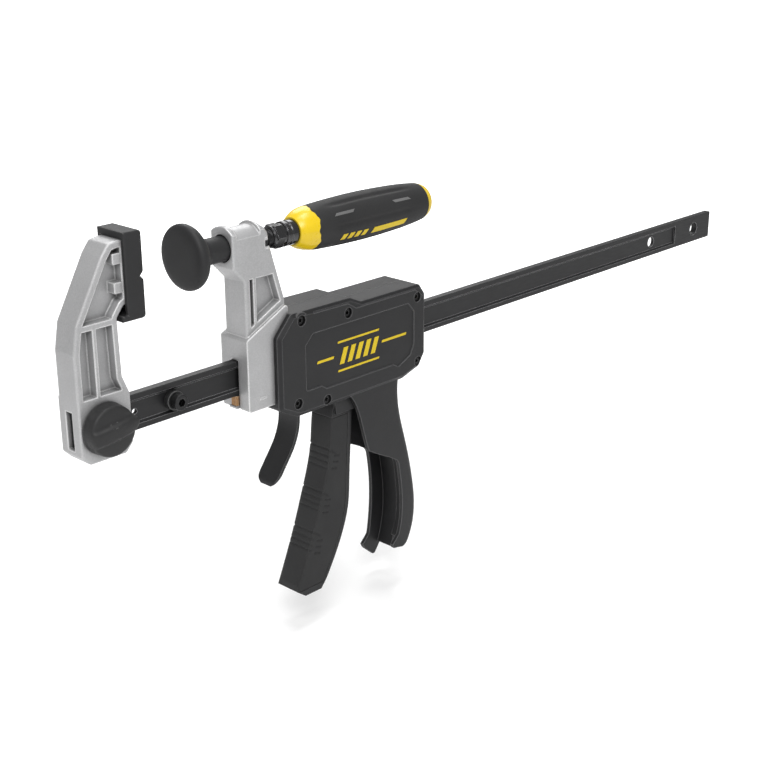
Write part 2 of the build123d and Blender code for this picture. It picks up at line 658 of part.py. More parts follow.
half_housing = HOUSING_WIDTH / 2
cavity_half = half_housing - HOUSING_WALL
socket_depth = 1.2
with BuildPart() as jaw_dowels:
    with BuildSketch(sliding_side.offset(cavity_half + socket_depth)):
        with Locations((DOWEL_SETBACK, DOWEL_HEIGHT), (DOWEL_SETBACK, -DOWEL_HEIGHT)):
            Circle(DOWEL_RADIUS)
    extrude(amount=-2 * (cavity_half + socket_depth))
save(jaw_dowels.part, "jaw_dowels")

# ---------------------------------------------------------------- screw: nut, pad, clip, spindle, hex and collar
boss_front_x = PAD_REACH - BOSS_FRONT
boss_back_x = PAD_REACH + boss_rear_x
nut_front_x = boss_front_x + COUNTERBORE_DEPTH + SEAT
with BuildPart() as screw_nut:
    with BuildSketch(end_plane(nut_front_x, 0)):
        Circle(NUT_RADIUS)
        Circle(spindle_bore, mode=Mode.SUBTRACT)
    extrude(amount=boss_back_x - nut_front_x + SEAT)
    with BuildSketch(end_plane(boss_back_x + SEAT, 0)):
        Circle(NUT_RADIUS + 1.2)
        Circle(spindle_bore, mode=Mode.SUBTRACT)
    extrude(amount=NUT_FLANGE)
save(screw_nut.part, "screw_nut")

hub_end_x = HUB_LENGTH
clip_x = hub_end_x - 4.0
with BuildPart() as clamp_pad:
    with BuildSketch(screw_side):
        with BuildLine():
            Line((0, 0), (0, SCREW_PAD_RADIUS - 2.0))
            ThreePointArc(
                (0, SCREW_PAD_RADIUS - 2.0),
                (0.6, SCREW_PAD_RADIUS - 0.6),
                (2.0, SCREW_PAD_RADIUS),
            )
            Line((2.0, SCREW_PAD_RADIUS), (SCREW_PAD_RIM - 3.0, SCREW_PAD_RADIUS))
            ThreePointArc(
                (SCREW_PAD_RIM - 3.0, SCREW_PAD_RADIUS),
                (SCREW_PAD_RIM - 0.9, SCREW_PAD_RADIUS - 0.9),
                (SCREW_PAD_RIM, SCREW_PAD_RADIUS - 3.0),
            )
            Spline(
                (SCREW_PAD_RIM, SCREW_PAD_RADIUS - 3.0),
                (SCREW_PAD_NECK - 3.4, HUB_RADIUS + 2.0),
                (SCREW_PAD_NECK, HUB_RADIUS),
                tangents=((0, -1), (1, 0)),
            )
            Line((SCREW_PAD_NECK, HUB_RADIUS), (hub_end_x, HUB_RADIUS))
            Line((hub_end_x, HUB_RADIUS), (hub_end_x, spindle_bore))
            Line((hub_end_x, spindle_bore), (PAD_FLOOR, spindle_bore))
            Line((PAD_FLOOR, spindle_bore), (PAD_FLOOR, 0))
            Line((PAD_FLOOR, 0), (0, 0))
        make_face()
    revolve(axis=Axis.X)
    with BuildSketch(end_plane(clip_x - RUNNING_FIT, 0)):
        Circle(PAD_CLIP_RADIUS + RUNNING_FIT)
    extrude(amount=CLIP_THICKNESS + 2 * RUNNING_FIT, mode=Mode.SUBTRACT)
save(clamp_pad.part, "clamp_pad")

handle_front_x = HEX_FRONT + HEX_LENGTH + COLLAR_LENGTH - 0.6
spindle_end_x = handle_front_x + HANDLE_LENGTH * 0.35
with BuildPart() as spindle:
    with BuildSketch(end_plane(PAD_FLOOR + 0.4, 0)):
        Circle(SPINDLE_RADIUS)
    extrude(amount=spindle_end_x - PAD_FLOOR - 0.4)
    chamfer(spindle.edges().group_by(Axis.X)[0], 1.2)
    with BuildSketch(end_plane(clip_x, 0)):
        Circle(2 * SPINDLE_RADIUS)
        Circle(SPINDLE_RADIUS - clip_groove_depth, mode=Mode.SUBTRACT)
    extrude(amount=CLIP_THICKNESS, mode=Mode.SUBTRACT)
save(spindle.part, "spindle")

with BuildPart() as pad_clip:
    with BuildSketch(end_plane(clip_x, 0)):
        Circle(PAD_CLIP_RADIUS)
        Circle(SPINDLE_RADIUS - clip_groove_depth, mode=Mode.SUBTRACT)
    extrude(amount=CLIP_THICKNESS)
save(pad_clip.part, "pad_clip")

with BuildPart() as drive_hex:
    with BuildSketch(end_plane(HEX_FRONT, 0)):
        Circle(HEX_FLATS / 2)
    extrude(amount=HEX_LENGTH)
    with BuildSketch(end_plane(HEX_FRONT + HEX_LENGTH * 0.2, 0)):
        RegularPolygon(HEX_FLATS / 2, 6, major_radius=False)
    extrude(amount=HEX_LENGTH * 0.6)
    chamfer(drive_hex.edges().group_by(Axis.X)[0], 0.8)
    with BuildSketch(end_plane(HEX_FRONT, 0)):
        Circle(SPINDLE_RADIUS)
    extrude(amount=HEX_LENGTH, mode=Mode.SUBTRACT)
save(drive_hex.part, "drive_hex")

collar_x = HEX_FRONT + HEX_LENGTH
with BuildPart() as handle_collar:
    with BuildSketch(end_plane(collar_x, 0)):
        Circle(COLLAR_RADIUS)
    extrude(amount=COLLAR_LENGTH)
    fillet(handle_collar.edges().group_by(Axis.X)[0], 1.0)
    with BuildSketch(end_plane(collar_x, 0)):
        Circle(SPINDLE_RADIUS)
    extrude(amount=COLLAR_LENGTH, mode=Mode.SUBTRACT)
save(handle_collar.part, "handle_collar")

# ---------------------------------------------------------------- screw handle: hard core, soft grip
collar_end_x = collar_x + COLLAR_LENGTH
handle_end_x = handle_front_x + HANDLE_LENGTH
grip_front_x = handle_front_x + GRIP_START
grip_rear_x = handle_front_x + GRIP_END


with BuildPart() as handle_form:
    with BuildSketch(screw_side):
        with BuildLine():
            nose = Line((handle_front_x, 0), (handle_front_x, HANDLE_NOSE_RADIUS))
            waist = Spline(
                nose @ 1,
                (handle_front_x + 7.0, HANDLE_RADIUS - 2.0),
                (grip_front_x, HANDLE_RADIUS - 0.9),
                (handle_front_x + HANDLE_LENGTH * 0.48, HANDLE_RADIUS),
                (handle_front_x + HANDLE_LENGTH * 0.78, HANDLE_RADIUS - 1.1),
                (grip_rear_x, HANDLE_RADIUS - 2.4),
                tangents=((0.35, 1), (1, -0.2)),
            )
            dome = RadiusArc(waist @ 1, (handle_end_x, HANDLE_RADIUS * 0.3), HANDLE_LENGTH * 0.17)
            Polyline(dome @ 1, (handle_end_x, 0), nose @ 0)
        make_face()
    revolve(axis=Axis.X)

with BuildPart() as grip_zone:
    with BuildSketch(end_plane(grip_front_x, 0)):
        Circle(2 * HANDLE_RADIUS)
        Circle(HANDLE_RADIUS - GRIP_SKIN - 1.2, mode=Mode.SUBTRACT)
    extrude(amount=GRIP_END - GRIP_START)

with BuildPart() as handle_core:
    add(handle_form.part)
    add(grip_zone.part, mode=Mode.SUBTRACT)
    with BuildSketch(end_plane(handle_front_x, 0)):
        Circle(COLLAR_RADIUS)
    extrude(amount=collar_end_x - handle_front_x, mode=Mode.SUBTRACT)
    with BuildSketch(end_plane(handle_front_x, 0)):
        Circle(SPINDLE_RADIUS)
    extrude(amount=spindle_end_x - handle_front_x, mode=Mode.SUBTRACT)
save(handle_core.part, "handle_core")

with BuildPart() as handle_grip:
    add(handle_form.part)
    add(grip_zone.part, mode=Mode.INTERSECT)
save(handle_grip.part, "handle_grip")

# ---------------------------------------------------------------- housing: two moulded halves
housing_rear = HOUSING_FRONT + HOUSING_LENGTH
housing_outline = [
    (HOUSING_FRONT, -HOUSING_BOTTOM + 7),
    (HOUSING_FRONT, HOUSING_TOP - 12),
    (HOUSING_FRONT + 11, HOUSING_TOP),
    (HOUSING_STEP - 3, HOUSING_TOP - 0.6),
    (HOUSING_STEP + 6, HOUSING_TOP_REAR),
    (housing_rear - 5, HOUSING_TOP_REAR),
    (housing_rear, HOUSING_TOP_REAR - 7),
    (housing_rear, -HOUSING_BOTTOM + 12),
    (housing_rear - 5, -HOUSING_BOTTOM + 4.5),
    (housing_rear - 20, -HOUSING_BOTTOM),
    (HOUSING_FRONT + 14, -HOUSING_BOTTOM),
]
grip_rear = TRIGGER_PIVOT_X + GRIP_REACH
neck_top = (grip_rear - 21, -HOUSING_BOTTOM + 2)
neck_back = [
    (grip_rear - 21, -46),
    (grip_rear - 15, -70),
    (grip_rear - 8.5, -98),
    (grip_rear - 7.0, -124),
]
arch = [
    (grip_rear - 66, -HOUSING_BOTTOM + 2),
    (grip_rear - 60, -36),
    (grip_rear - 56, -47),
    (grip_rear - 49.5, -68),
]
skirt = [
    (grip_rear - 40.5, -73),
    (grip_rear - 31.5, -77.5),
    (grip_rear - 25, -81.5),
]
lip = [
    (grip_rear - 23.5, -84),
    (grip_rear - 21.6, -96),
    (grip_rear - 21.3, -124),
]
screw_places = [
    (HOUSING_FRONT + 17.5, HOUSING_TOP - 5.0),
    (HOUSING_STEP - 5.8, HOUSING_TOP_REAR - 4.1),
    (housing_rear - 8.0, HOUSING_TOP_REAR - 7.4),
    (housing_rear - 7.4, -HOUSING_BOTTOM + 8.3),
    (HOUSING_FRONT + 13.7, -HOUSING_BOTTOM + 8.1),
    (HOUSING_FRONT + 36.4, -HOUSING_BOTTOM + 4.4),
]
label_outline = [
    (HOUSING_FRONT + 20, -15),
    (HOUSING_FRONT + 32, -15),
    (HOUSING_FRONT + 36, -17.5),
    (housing_rear - 29, -17.5),
    (housing_rear - 25, -20),
    (housing_rear - 14, -15),
    (housing_rear - 11, -8),
    (housing_rear - 11, 12),
    (housing_rear - 16, 18),
    (HOUSING_FRONT + 26, 18),
    (HOUSING_FRONT + 20, 12),
]
half_plate = PLATE_WIDTH / 2
mouth_top = -HOUSING_BOTTOM + HOUSING_WALL + 1.0
brake_rib_top = -half_height - 1.0
brake_spring_z = -half_height - PLATE_WINDOW - BRAKE_SPRING_RADIUS - 3.0
drive_spring_z = half_height + DRIVE_SPRING_RADIUS + 1.0
screw_seat = half_housing - SCREW_SINK - SCREW_HEAD_HEIGHT
screw_depth = cavity_half - 1.5
grip_half = GRIP_WIDTH / 2
channel_half = grip_half - GRIP_WALL
trigger_eye_gap = 0.3
fork_outer = FORK_GAP / 2 + FORK_CHEEK


def rear_of_grip(grip_bottom, inset=0.0):
    """The points down the back of the neck and grip, moved forward by the inset."""
    points = [neck_top, *neck_back, (grip_rear - 12, -grip_bottom + 3)]
    return [(x - inset, z) for x, z in points]


def grip_blank(towards_outside, grip_bottom):
    """Half of the neck and rear grip, still solid, from the middle plane outwards."""
    with BuildPart() as blank:
        with BuildSketch(sliding_side):
            with BuildLine():
                rear = Spline(*rear_of_grip(grip_bottom))
                hook = Polyline(
                    rear @ 1,
                    (grip_rear - 20, -grip_bottom),
                    (grip_rear - 28.3, -grip_bottom + 1.7),
                    (grip_rear - 29.2, -grip_bottom + 4.1),
                    (grip_rear - 23.6, -grip_bottom + 9.5),
                )
                front_lip = Spline(hook @ 1, *reversed(lip))
                Polyline(front_lip @ 1, *reversed(skirt), arch[-1])
                front = Spline(*reversed(arch))
                Line(front @ 1, neck_top)
            make_face()
        extrude(amount=towards_outside * grip_half)
        outer_edges = blank.edges().group_by(Axis.Y)[0 if towards_outside > 0 else -1]
        fillet(outer_edges.sort_by(Axis.X)[-1], GRIP_EDGE)
    return blank.part


def housing_half(side, grip_bottom):
    """One half of the housing with its half of the rear grip: side is -1 for the half that faces -Y."""
    towards_outside = -side
    blank = grip_blank(towards_outside, grip_bottom)
    with BuildPart() as half:
        with BuildSketch(sliding_side):
            with BuildLine():
                FilletPolyline(*housing_outline, radius=3.0, close=True)
            make_face()
        extrude(amount=towards_outside * half_housing)
        outer = half.faces().filter_by(Axis.Y).sort_by(Axis.Y)[0 if side < 0 else -1]
        chamfer(outer.edges(), HOUSING_EDGE * 0.75, HOUSING_EDGE)
        add(blank)
        # cavity of the box, the channel of the grip and the mouth below
        with BuildSketch(sliding_side):
            with BuildLine():
                FilletPolyline(*housing_outline, radius=3.0, close=True)
            make_face()
            offset(amount=-HOUSING_WALL, mode=Mode.REPLACE)
        extrude(amount=towards_outside * cavity_half, mode=Mode.SUBTRACT)
        with BuildSketch(sliding_side):
            with BuildLine():
                inner = Spline(*rear_of_grip(grip_bottom, GRIP_WALL + 1.0))
                Polyline(
                    inner @ 1,
                    (grip_rear - 12 - GRIP_WALL - 1.0, -grip_bottom - 5),
                    (MOUTH_FRONT, -grip_bottom - 5),
                    (MOUTH_FRONT, mouth_top),
                    (neck_top[0] - GRIP_WALL - 1.0, mouth_top),
                    inner @ 0,
                )
            make_face()
        extrude(amount=towards_outside * channel_half, mode=Mode.SUBTRACT)
        # inside: screw bosses, pin bosses, spring seats and the bed of the casting
        with BuildSketch(sliding_side):
            with Locations(*screw_places):
                Circle(SCREW_BOSS_RADIUS)
        extrude(amount=towards_outside * (cavity_half + 0.2))
        for place, boss_radius, face in (
            ((TRIGGER_PIVOT_X, TRIGGER_PIVOT_Z), 2 * TRIGGER_PIN_RADIUS, fork_outer + trigger_eye_gap),
            ((BRAKE_PIVOT_X, BRAKE_PIVOT_Z), 2 * BRAKE_PIN_RADIUS, half_plate + trigger_eye_gap),
        ):
            with BuildSketch(sliding_side.offset(towards_outside * face)):
                with Locations(place):
                    Circle(boss_radius)
            extrude(amount=towards_outside * (cavity_half + 0.2 - face))
        with BuildSketch(sliding_side):
            with Locations((BRAKE_SPRING_SEAT, mouth_top)):
                Rectangle(RIB, brake_rib_top - mouth_top, align=(Align.MIN, Align.MIN))
            with Locations((DRIVE_SPRING_SEAT, drive_spring_z)):
                Rectangle(RIB, 2 * DRIVE_SPRING_RADIUS, align=(Align.MIN, Align.CENTER))
        extrude(amount=towards_outside * (cavity_half + 0.2))
        with BuildSketch(sliding_side):
            with Locations((HOUSING_FRONT - HOUSING_WALL, -BLOCK_BOTTOM - SEAT)):
                Rectangle(
                    TAIL_BLOCK + 2 + HOUSING_WALL + SEAT - HOUSING_FRONT,
                    4 * BLOCK_BOTTOM,
                    align=(Align.MIN, Align.MIN),
                )
        extrude(amount=towards_outside * (half_block + SEAT), mode=Mode.SUBTRACT)
        with BuildSketch(sliding_side):
            with Locations((housing_rear - 2 * HOUSING_WALL, 0)):
                Rectangle(4 * HOUSING_WALL, slot_height + SEAT, align=(Align.MIN, Align.CENTER))
        extrude(amount=towards_outside * (bar_slot / 2 + SEAT), mode=Mode.SUBTRACT)
        # sockets for the pins and dowels
        with BuildSketch(sliding_side):
            with Locations((DOWEL_SETBACK, DOWEL_HEIGHT), (DOWEL_SETBACK, -DOWEL_HEIGHT)):
                Circle(DOWEL_RADIUS)
            with Locations((TRIGGER_PIVOT_X, TRIGGER_PIVOT_Z)):
                Circle(TRIGGER_PIN_RADIUS)
            with Locations((BRAKE_PIVOT_X, BRAKE_PIVOT_Z)):
                Circle(BRAKE_PIN_RADIUS)
        extrude(amount=towards_outside * (cavity_half + socket_depth), mode=Mode.SUBTRACT)
        # screw holes, and sinks for the heads on the near half
        with BuildSketch(sliding_side):
            with Locations(*screw_places):
                Circle(SCREW_SHANK_RADIUS)
        extrude(amount=towards_outside * (screw_depth if side > 0 else half_housing), mode=Mode.SUBTRACT)
        if side < 0:
            with BuildSketch(sliding_side.offset(screw_seat)):
                with Locations(*screw_places):
                    Circle(SCREW_HEAD_RADIUS + SEAT)
            extrude(amount=half_housing, mode=Mode.SUBTRACT)
        # shallow recess for a label
        with BuildSketch(sliding_side.offset(towards_outside * (half_housing - LABEL_RECESS))):
            with BuildLine():
                FilletPolyline(*label_outline, radius=1.5, close=True)
            make_face()
        extrude(amount=towards_outside * 2 * LABEL_RECESS, mode=Mode.SUBTRACT)
    return half.part


near_half = housing_half(-1, GRIP_BOTTOM_NEAR)
far_half = housing_half(1, GRIP_BOTTOM_FAR)
save(near_half, "housing_near")
save(far_half, "housing_far")

with BuildPart() as housing_screws:
    with BuildSketch(sliding_side.offset(screw_seat)):
        with Locations(*screw_places):
            Circle(SCREW_HEAD_RADIUS)
    extrude(amount=SCREW_HEAD_HEIGHT)
    chamfer(housing_screws.edges().group_by(Axis.Y)[0], 0.5)
    with BuildSketch(sliding_side.offset(screw_seat)):
        with Locations(*screw_places):
            Circle(SCREW_SHANK_RADIUS)
    extrude(amount=-(screw_seat + screw_depth))
    with BuildSketch(sliding_side.offset(screw_seat + SCREW_HEAD_HEIGHT)):
        with Locations(*screw_places):
            RegularPolygon(SCREW_SOCKET, 6)
    extrude(amount=-SCREW_SOCKET, mode=Mode.SUBTRACT)
save(housing_screws.part, "housing_screws")

# ---------------------------------------------------------------- trigger: pin, fork and spine, soft grip, push pin
pin_half = cavity_half + socket_depth
with BuildPart() as trigger_pin:
    with BuildSketch(sliding_side.offset(pin_half)):
        with Locations((TRIGGER_PIVOT_X, TRIGGER_PIVOT_Z)):
            Circle(TRIGGER_PIN_RADIUS)
    extrude(amount=-2 * pin_half)
save(trigger_pin.part, "trigger_pin")

trigger_front = [
    (TRIGGER_PIVOT_X + 6, -30),
    (TRIGGER_PIVOT_X + 3, -43),
    (TRIGGER_PIVOT_X + 1, -62),
    (TRIGGER_PIVOT_X - 6, -87),
    (TRIGGER_PIVOT_X - 15, -112),
    (TRIGGER_PIVOT_X - 26.5, -TRIGGER_BOTTOM + 8),
]
trigger_toe = [
    (TRIGGER_PIVOT_X - 26.5, -TRIGGER_BOTTOM + 4),
    (TRIGGER_PIVOT_X - 21, -TRIGGER_BOTTOM),
    (TRIGGER_PIVOT_X - 8, -TRIGGER_BOTTOM),
]
trigger_back = [
    (TRIGGER_PIVOT_X + 0.5, -TRIGGER_BOTTOM + 9),
    (TRIGGER_PIVOT_X + 10, -121),
    (TRIGGER_PIVOT_X + 17.5, -98),
    (TRIGGER_PIVOT_X + 18.5, -84),
    (TRIGGER_PIVOT_X + 20, -60),
    (TRIGGER_PIVOT_X + 21, -44),
    (TRIGGER_PIVOT_X + 21, -30),
]
half_trigger = TRIGGER_WIDTH / 2
skin_top_z = -40.0
chin_z = -TRIGGER_BOTTOM + TRIGGER_SPINE
push_pin_place = (TRIGGER_PIVOT_X + PUSH_PIN_SETBACK, -PUSH_PIN_Z)

with BuildPart() as trigger_form:
    with BuildSketch(sliding_side):
        with BuildLine():
            front_curve = Spline(*trigger_front)
            Polyline(front_curve @ 1, *trigger_toe, trigger_back[0])
            back_curve = Spline(*trigger_back)
            Line(back_curve @ 1, front_curve @ 0)
        make_face()
    extrude(amount=half_trigger, both=True)
    long_edges = trigger_form.edges().filter_by(GeomType.BSPLINE)
    fillet(long_edges.sort_by(lambda edge: edge.center().X)[:2], GRIP_ROUND)
    long_edges = trigger_form.edges().filter_by(GeomType.BSPLINE)
    fillet(long_edges.sort_by(lambda edge: edge.center().X)[-2:], SPINE_ROUND)

# the soft grip: everything in front of the spine and above the chin, GRIP_DEPTH thick
with BuildPart() as skin_zone:
    with BuildSketch(sliding_side):
        with BuildLine():
            seam = Spline(*[(x - TRIGGER_SPINE, z) for x, z in trigger_back])
            Polyline(
                seam @ 1,
                (TRIGGER_PIVOT_X - 3 * TRIGGER_WIDTH, trigger_back[-1][1]),
                (TRIGGER_PIVOT_X - 3 * TRIGGER_WIDTH, chin_z),
                (TRIGGER_PIVOT_X - 5, chin_z),
                seam @ 0,
            )
        make_face()
        with Locations((TRIGGER_PIVOT_X, skin_top_z)):
            Rectangle(6 * TRIGGER_WIDTH, TRIGGER_BOTTOM, align=(Align.CENTER, Align.MIN), mode=Mode.SUBTRACT)
    extrude(amount=TRIGGER_WIDTH, both=True)
    with BuildSketch(sliding_side):
        with BuildLine():
            inner_curve = Spline(*[(x + GRIP_DEPTH, z) for x, z in trigger_front])
            Polyline(
                inner_curve @ 1,
                (trigger_front[-1][0] + GRIP_DEPTH, -TRIGGER_BOTTOM - 1),
                (TRIGGER_PIVOT_X + 3 * TRIGGER_WIDTH, -TRIGGER_BOTTOM - 1),
                (TRIGGER_PIVOT_X + 3 * TRIGGER_WIDTH, trigger_front[0][1]),
                inner_curve @ 0,
            )
        make_face()
    extrude(amount=half_trigger - GRIP_DEPTH, both=True, mode=Mode.SUBTRACT)

with BuildPart() as trigger_grip:
    add(trigger_form.part)
    add(skin_zone.part, mode=Mode.INTERSECT)
save(trigger_grip.part, "trigger_grip")

fork_outline = [
    (TRIGGER_PIVOT_X - TRIGGER_EYE_RADIUS, TRIGGER_PIVOT_Z),
    (TRIGGER_PIVOT_X + TRIGGER_EYE_RADIUS, TRIGGER_PIVOT_Z),
    (trigger_back[-1][0], -26),
    (trigger_back[-1][0], FORK_BOTTOM),
    (trigger_front[0][0], FORK_BOTTOM),
    (trigger_front[0][0] - 1, -30),
    (TRIGGER_PIVOT_X - 2.4, -PUSH_PIN_Z - 4.6),
    (TRIGGER_PIVOT_X - 4.8, -PUSH_PIN_Z),
]
with BuildPart() as trigger:
    add(trigger_form.part)
    add(skin_zone.part, mode=Mode.SUBTRACT)
    for plane in (sliding_side.offset(FORK_GAP / 2), sliding_side.offset(-fork_outer)):
        with BuildSketch(plane):
            with BuildLine():
                Polyline(*fork_outline, close=True)
            make_face()
            with Locations((TRIGGER_PIVOT_X, TRIGGER_PIVOT_Z)):
                Circle(TRIGGER_EYE_RADIUS)
        extrude(amount=FORK_CHEEK)
    with BuildSketch(sliding_side):
        with Locations((trigger_front[0][0], FORK_BOTTOM)):
            Rectangle(trigger_back[-1][0] - trigger_front[0][0], FORK_BRIDGE, align=(Align.MIN, Align.MIN))
    extrude(amount=fork_outer, both=True)
    with BuildSketch(sliding_side):
        with Locations((TRIGGER_PIVOT_X, TRIGGER_PIVOT_Z)):
            Circle(TRIGGER_PIN_RADIUS + RUNNING_FIT)
        with Locations(push_pin_place):
            Circle(PUSH_PIN_RADIUS)
    extrude(amount=half_housing, both=True, mode=Mode.SUBTRACT)
save(trigger.part, "trigger")

with BuildPart() as push_pin:
    with BuildSketch(sliding_side.offset(fork_outer)):
        with Locations(push_pin_place):
            Circle(PUSH_PIN_RADIUS)
    extrude(amount=-2 * fork_outer)
save(push_pin.part, "push_pin")

# ---------------------------------------------------------------- drive plates and their spring
drive_plate_x = push_pin_place[0] + PUSH_PIN_RADIUS + PLATE_GAP
window_width = BAR_THICKNESS + 2 * PLATE_WINDOW
window_height = BAR_HEIGHT + 2 * PLATE_WINDOW


def drive_plate(front_x):
    """A hardened plate across the bar, with a window that the bar runs through."""
    with BuildPart() as plate:
        with BuildSketch(end_plane(PAD_REACH + front_x)) as face:
            with Locations((0, -DRIVE_PLATE_BOTTOM)):
                Rectangle(PLATE_WIDTH, DRIVE_PLATE_BOTTOM + DRIVE_PLATE_TOP, align=(Align.CENTER, Align.MIN))
            fillet(face.vertices(), PLATE_CORNER)
            Rectangle(window_width, window_height, mode=Mode.SUBTRACT)
        extrude(amount=PLATE_THICKNESS)
    return plate.part


second_plate_x = drive_plate_x + PLATE_THICKNESS + PLATE_GAP
save(drive_plate(drive_plate_x), "drive_plate_1")
save(drive_plate(second_plate_x), "drive_plate_2")

drive_spring_x = second_plate_x + PLATE_THICKNESS + SEAT
save(
    coil(
        end_plane(PAD_REACH + drive_spring_x, bar_z + drive_spring_z),
        DRIVE_SPRING_RADIUS - DRIVE_SPRING_WIRE / 2,
        DRIVE_SPRING_WIRE,
        DRIVE_SPRING_SEAT - drive_spring_x - SEAT,
        DRIVE_SPRING_TURNS,
    ),
    "drive_spring",
)

# ---------------------------------------------------------------- brake: pin, plate, release lever, rivets, spring
with BuildPart() as brake_pin:
    with BuildSketch(sliding_side.offset(pin_half)):
        with Locations((BRAKE_PIVOT_X, BRAKE_PIVOT_Z)):
            Circle(BRAKE_PIN_RADIUS)
    extrude(amount=-2 * pin_half)
save(brake_pin.part, "brake_pin")

# the brake plate hangs from its pin and leans forward until it bites the bar; s runs down the plate
tilt = math.radians(BRAKE_TILT)
half_brake = PLATE_THICKNESS / 2
brake_frame = Plane(
    origin=(PAD_REACH + BRAKE_PIVOT_X, 0, bar_z + BRAKE_PIVOT_Z),
    x_dir=(0, 1, 0),
    z_dir=(math.cos(tilt), 0, -math.sin(tilt)),
)
bite = half_brake * math.sin(tilt) + PLATE_WINDOW
window_top = (BRAKE_PIVOT_Z - half_height - bite) / math.cos(tilt)
window_bottom = (BRAKE_PIVOT_Z + half_height + bite) / math.cos(tilt)
plate_length = (BRAKE_PIVOT_Z + BRAKE_PLATE_BOTTOM) / math.cos(tilt)
rivet_s = plate_length - RIVET_INSET


def down_the_plate(s, out):
    """The (x, z) of a point s below the brake pin and out in front of the plate's middle."""
    return (
        BRAKE_PIVOT_X - s * math.sin(tilt) - out * math.cos(tilt),
        BRAKE_PIVOT_Z - s * math.cos(tilt) + out * math.sin(tilt),
    )


with BuildPart() as brake_plate:
    with BuildSketch(brake_frame.offset(-half_brake)) as face:
        with Locations((0, -plate_length)):
            Rectangle(PLATE_WIDTH, plate_length + BRAKE_PLATE_ABOVE, align=(Align.CENTER, Align.MIN))
        fillet(face.vertices(), PLATE_CORNER)
        with Locations((0, -window_bottom)):
            Rectangle(window_width, window_bottom - window_top, align=(Align.CENTER, Align.MIN), mode=Mode.SUBTRACT)
        with Locations((-RIVET_SPACING / 2, -rivet_s), (RIVET_SPACING / 2, -rivet_s)):
            Circle(RIVET_RADIUS, mode=Mode.SUBTRACT)
    extrude(amount=PLATE_THICKNESS)
    with BuildSketch(sliding_side):
        with Locations((BRAKE_PIVOT_X, BRAKE_PIVOT_Z)):
            Circle(BRAKE_PIN_RADIUS + BRAKE_PLATE_KNUCKLE)
    extrude(amount=half_plate, both=True)
    with BuildSketch(sliding_side):
        with Locations((BRAKE_PIVOT_X, BRAKE_PIVOT_Z)):
            Circle(BRAKE_PIN_RADIUS + RUNNING_FIT)
    extrude(amount=half_housing, both=True, mode=Mode.SUBTRACT)
save(brake_plate.part, "brake_plate")

# release lever: a bent strip riveted to the front of the plate, with a round tip
half_strip = RELEASE_THICKNESS / 2
strip_out = half_brake + half_strip
lever_path = [
    down_the_plate(plate_length, strip_out),
    (BRAKE_PIVOT_X - 5.0, -32),
    (BRAKE_PIVOT_X - 8.8, -48),
    (BRAKE_PIVOT_X - 17.0, -60),
    (BRAKE_PIVOT_X - 22.2, -67),
    (BRAKE_PIVOT_X - 23.8, -RELEASE_TIP),
]
with BuildPart() as release_lever:
    with BuildSketch(sliding_side):
        with BuildLine():
            Line(down_the_plate(window_bottom + 1.0, strip_out), lever_path[0])
            Spline(*lever_path, tangents=((-math.sin(tilt), -math.cos(tilt)), (-0.1, -1)))
        trace(line_width=RELEASE_THICKNESS)
    extrude(amount=RELEASE_WIDTH / 2, both=True)
    with BuildSketch(end_plane(PAD_REACH)):
        with Locations((0, -RELEASE_TIP - half_strip)):
            RectangleRounded(
                RELEASE_WIDTH,
                2 * RELEASE_TIP,
                RELEASE_WIDTH * 0.49,
                align=(Align.CENTER, Align.MIN),
            )
    extrude(amount=HOUSING_LENGTH, mode=Mode.INTERSECT)
    with BuildSketch(brake_frame.offset(-half_brake - 2 * RELEASE_THICKNESS)):
        with Locations((-RIVET_SPACING / 2, -rivet_s), (RIVET_SPACING / 2, -rivet_s)):
            Circle(RIVET_RADIUS)
    extrude(amount=3 * RELEASE_THICKNESS, mode=Mode.SUBTRACT)
save(release_lever.part, "release_lever")

with BuildPart() as lever_rivets:
    for start, reach, radius in (
        (-half_brake - RELEASE_THICKNESS, PLATE_THICKNESS + RELEASE_THICKNESS, RIVET_RADIUS),
        (-half_brake - RELEASE_THICKNESS - RIVET_HEAD, RIVET_HEAD, RIVET_HEAD_RADIUS),
        (half_brake, RIVET_HEAD, RIVET_HEAD_RADIUS),
    ):
        with BuildSketch(brake_frame.offset(start)):
            with Locations((-RIVET_SPACING / 2, -rivet_s), (RIVET_SPACING / 2, -rivet_s)):
                Circle(radius)
        extrude(amount=reach)
save(lever_rivets.part, "lever_rivets")

brake_spring_s = (BRAKE_PIVOT_Z - brake_spring_z - BRAKE_SPRING_RADIUS) / math.cos(tilt)
brake_spring_x = down_the_plate(brake_spring_s, -half_brake)[0] + SEAT
save(
    coil(
        end_plane(PAD_REACH + brake_spring_x, bar_z + brake_spring_z),
        BRAKE_SPRING_RADIUS - BRAKE_SPRING_WIRE / 2,
        BRAKE_SPRING_WIRE,
        BRAKE_SPRING_SEAT - brake_spring_x - SEAT,
        BRAKE_SPRING_TURNS,
    ),
    "brake_spring",
)
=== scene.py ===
"""The looks of a quick release bar clamp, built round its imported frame.

Every sub-assembly of the clamp is a class that dresses its own nodes and adds its own fine pieces: the bar,
the fixed jaw with its lock, the sliding jaw, the moulded housing, the trigger with its release lever, and
the screw with its handle. The finishes are frozen dataclasses that each build one procedural material.
The sizes of the clamp are in millimetres and turn into metres where a mesh is made, and those of the studio
are in metres. The axes are the frame's: X along the bar and the screw from the screw pad's face, Z up, -Y on
the side with the lock's knob.
"""

import logging
import math
from dataclasses import dataclass
from enum import Enum
from typing import Callable, ClassVar, Sequence

import bmesh
import bpy
from mathutils import Matrix, Vector


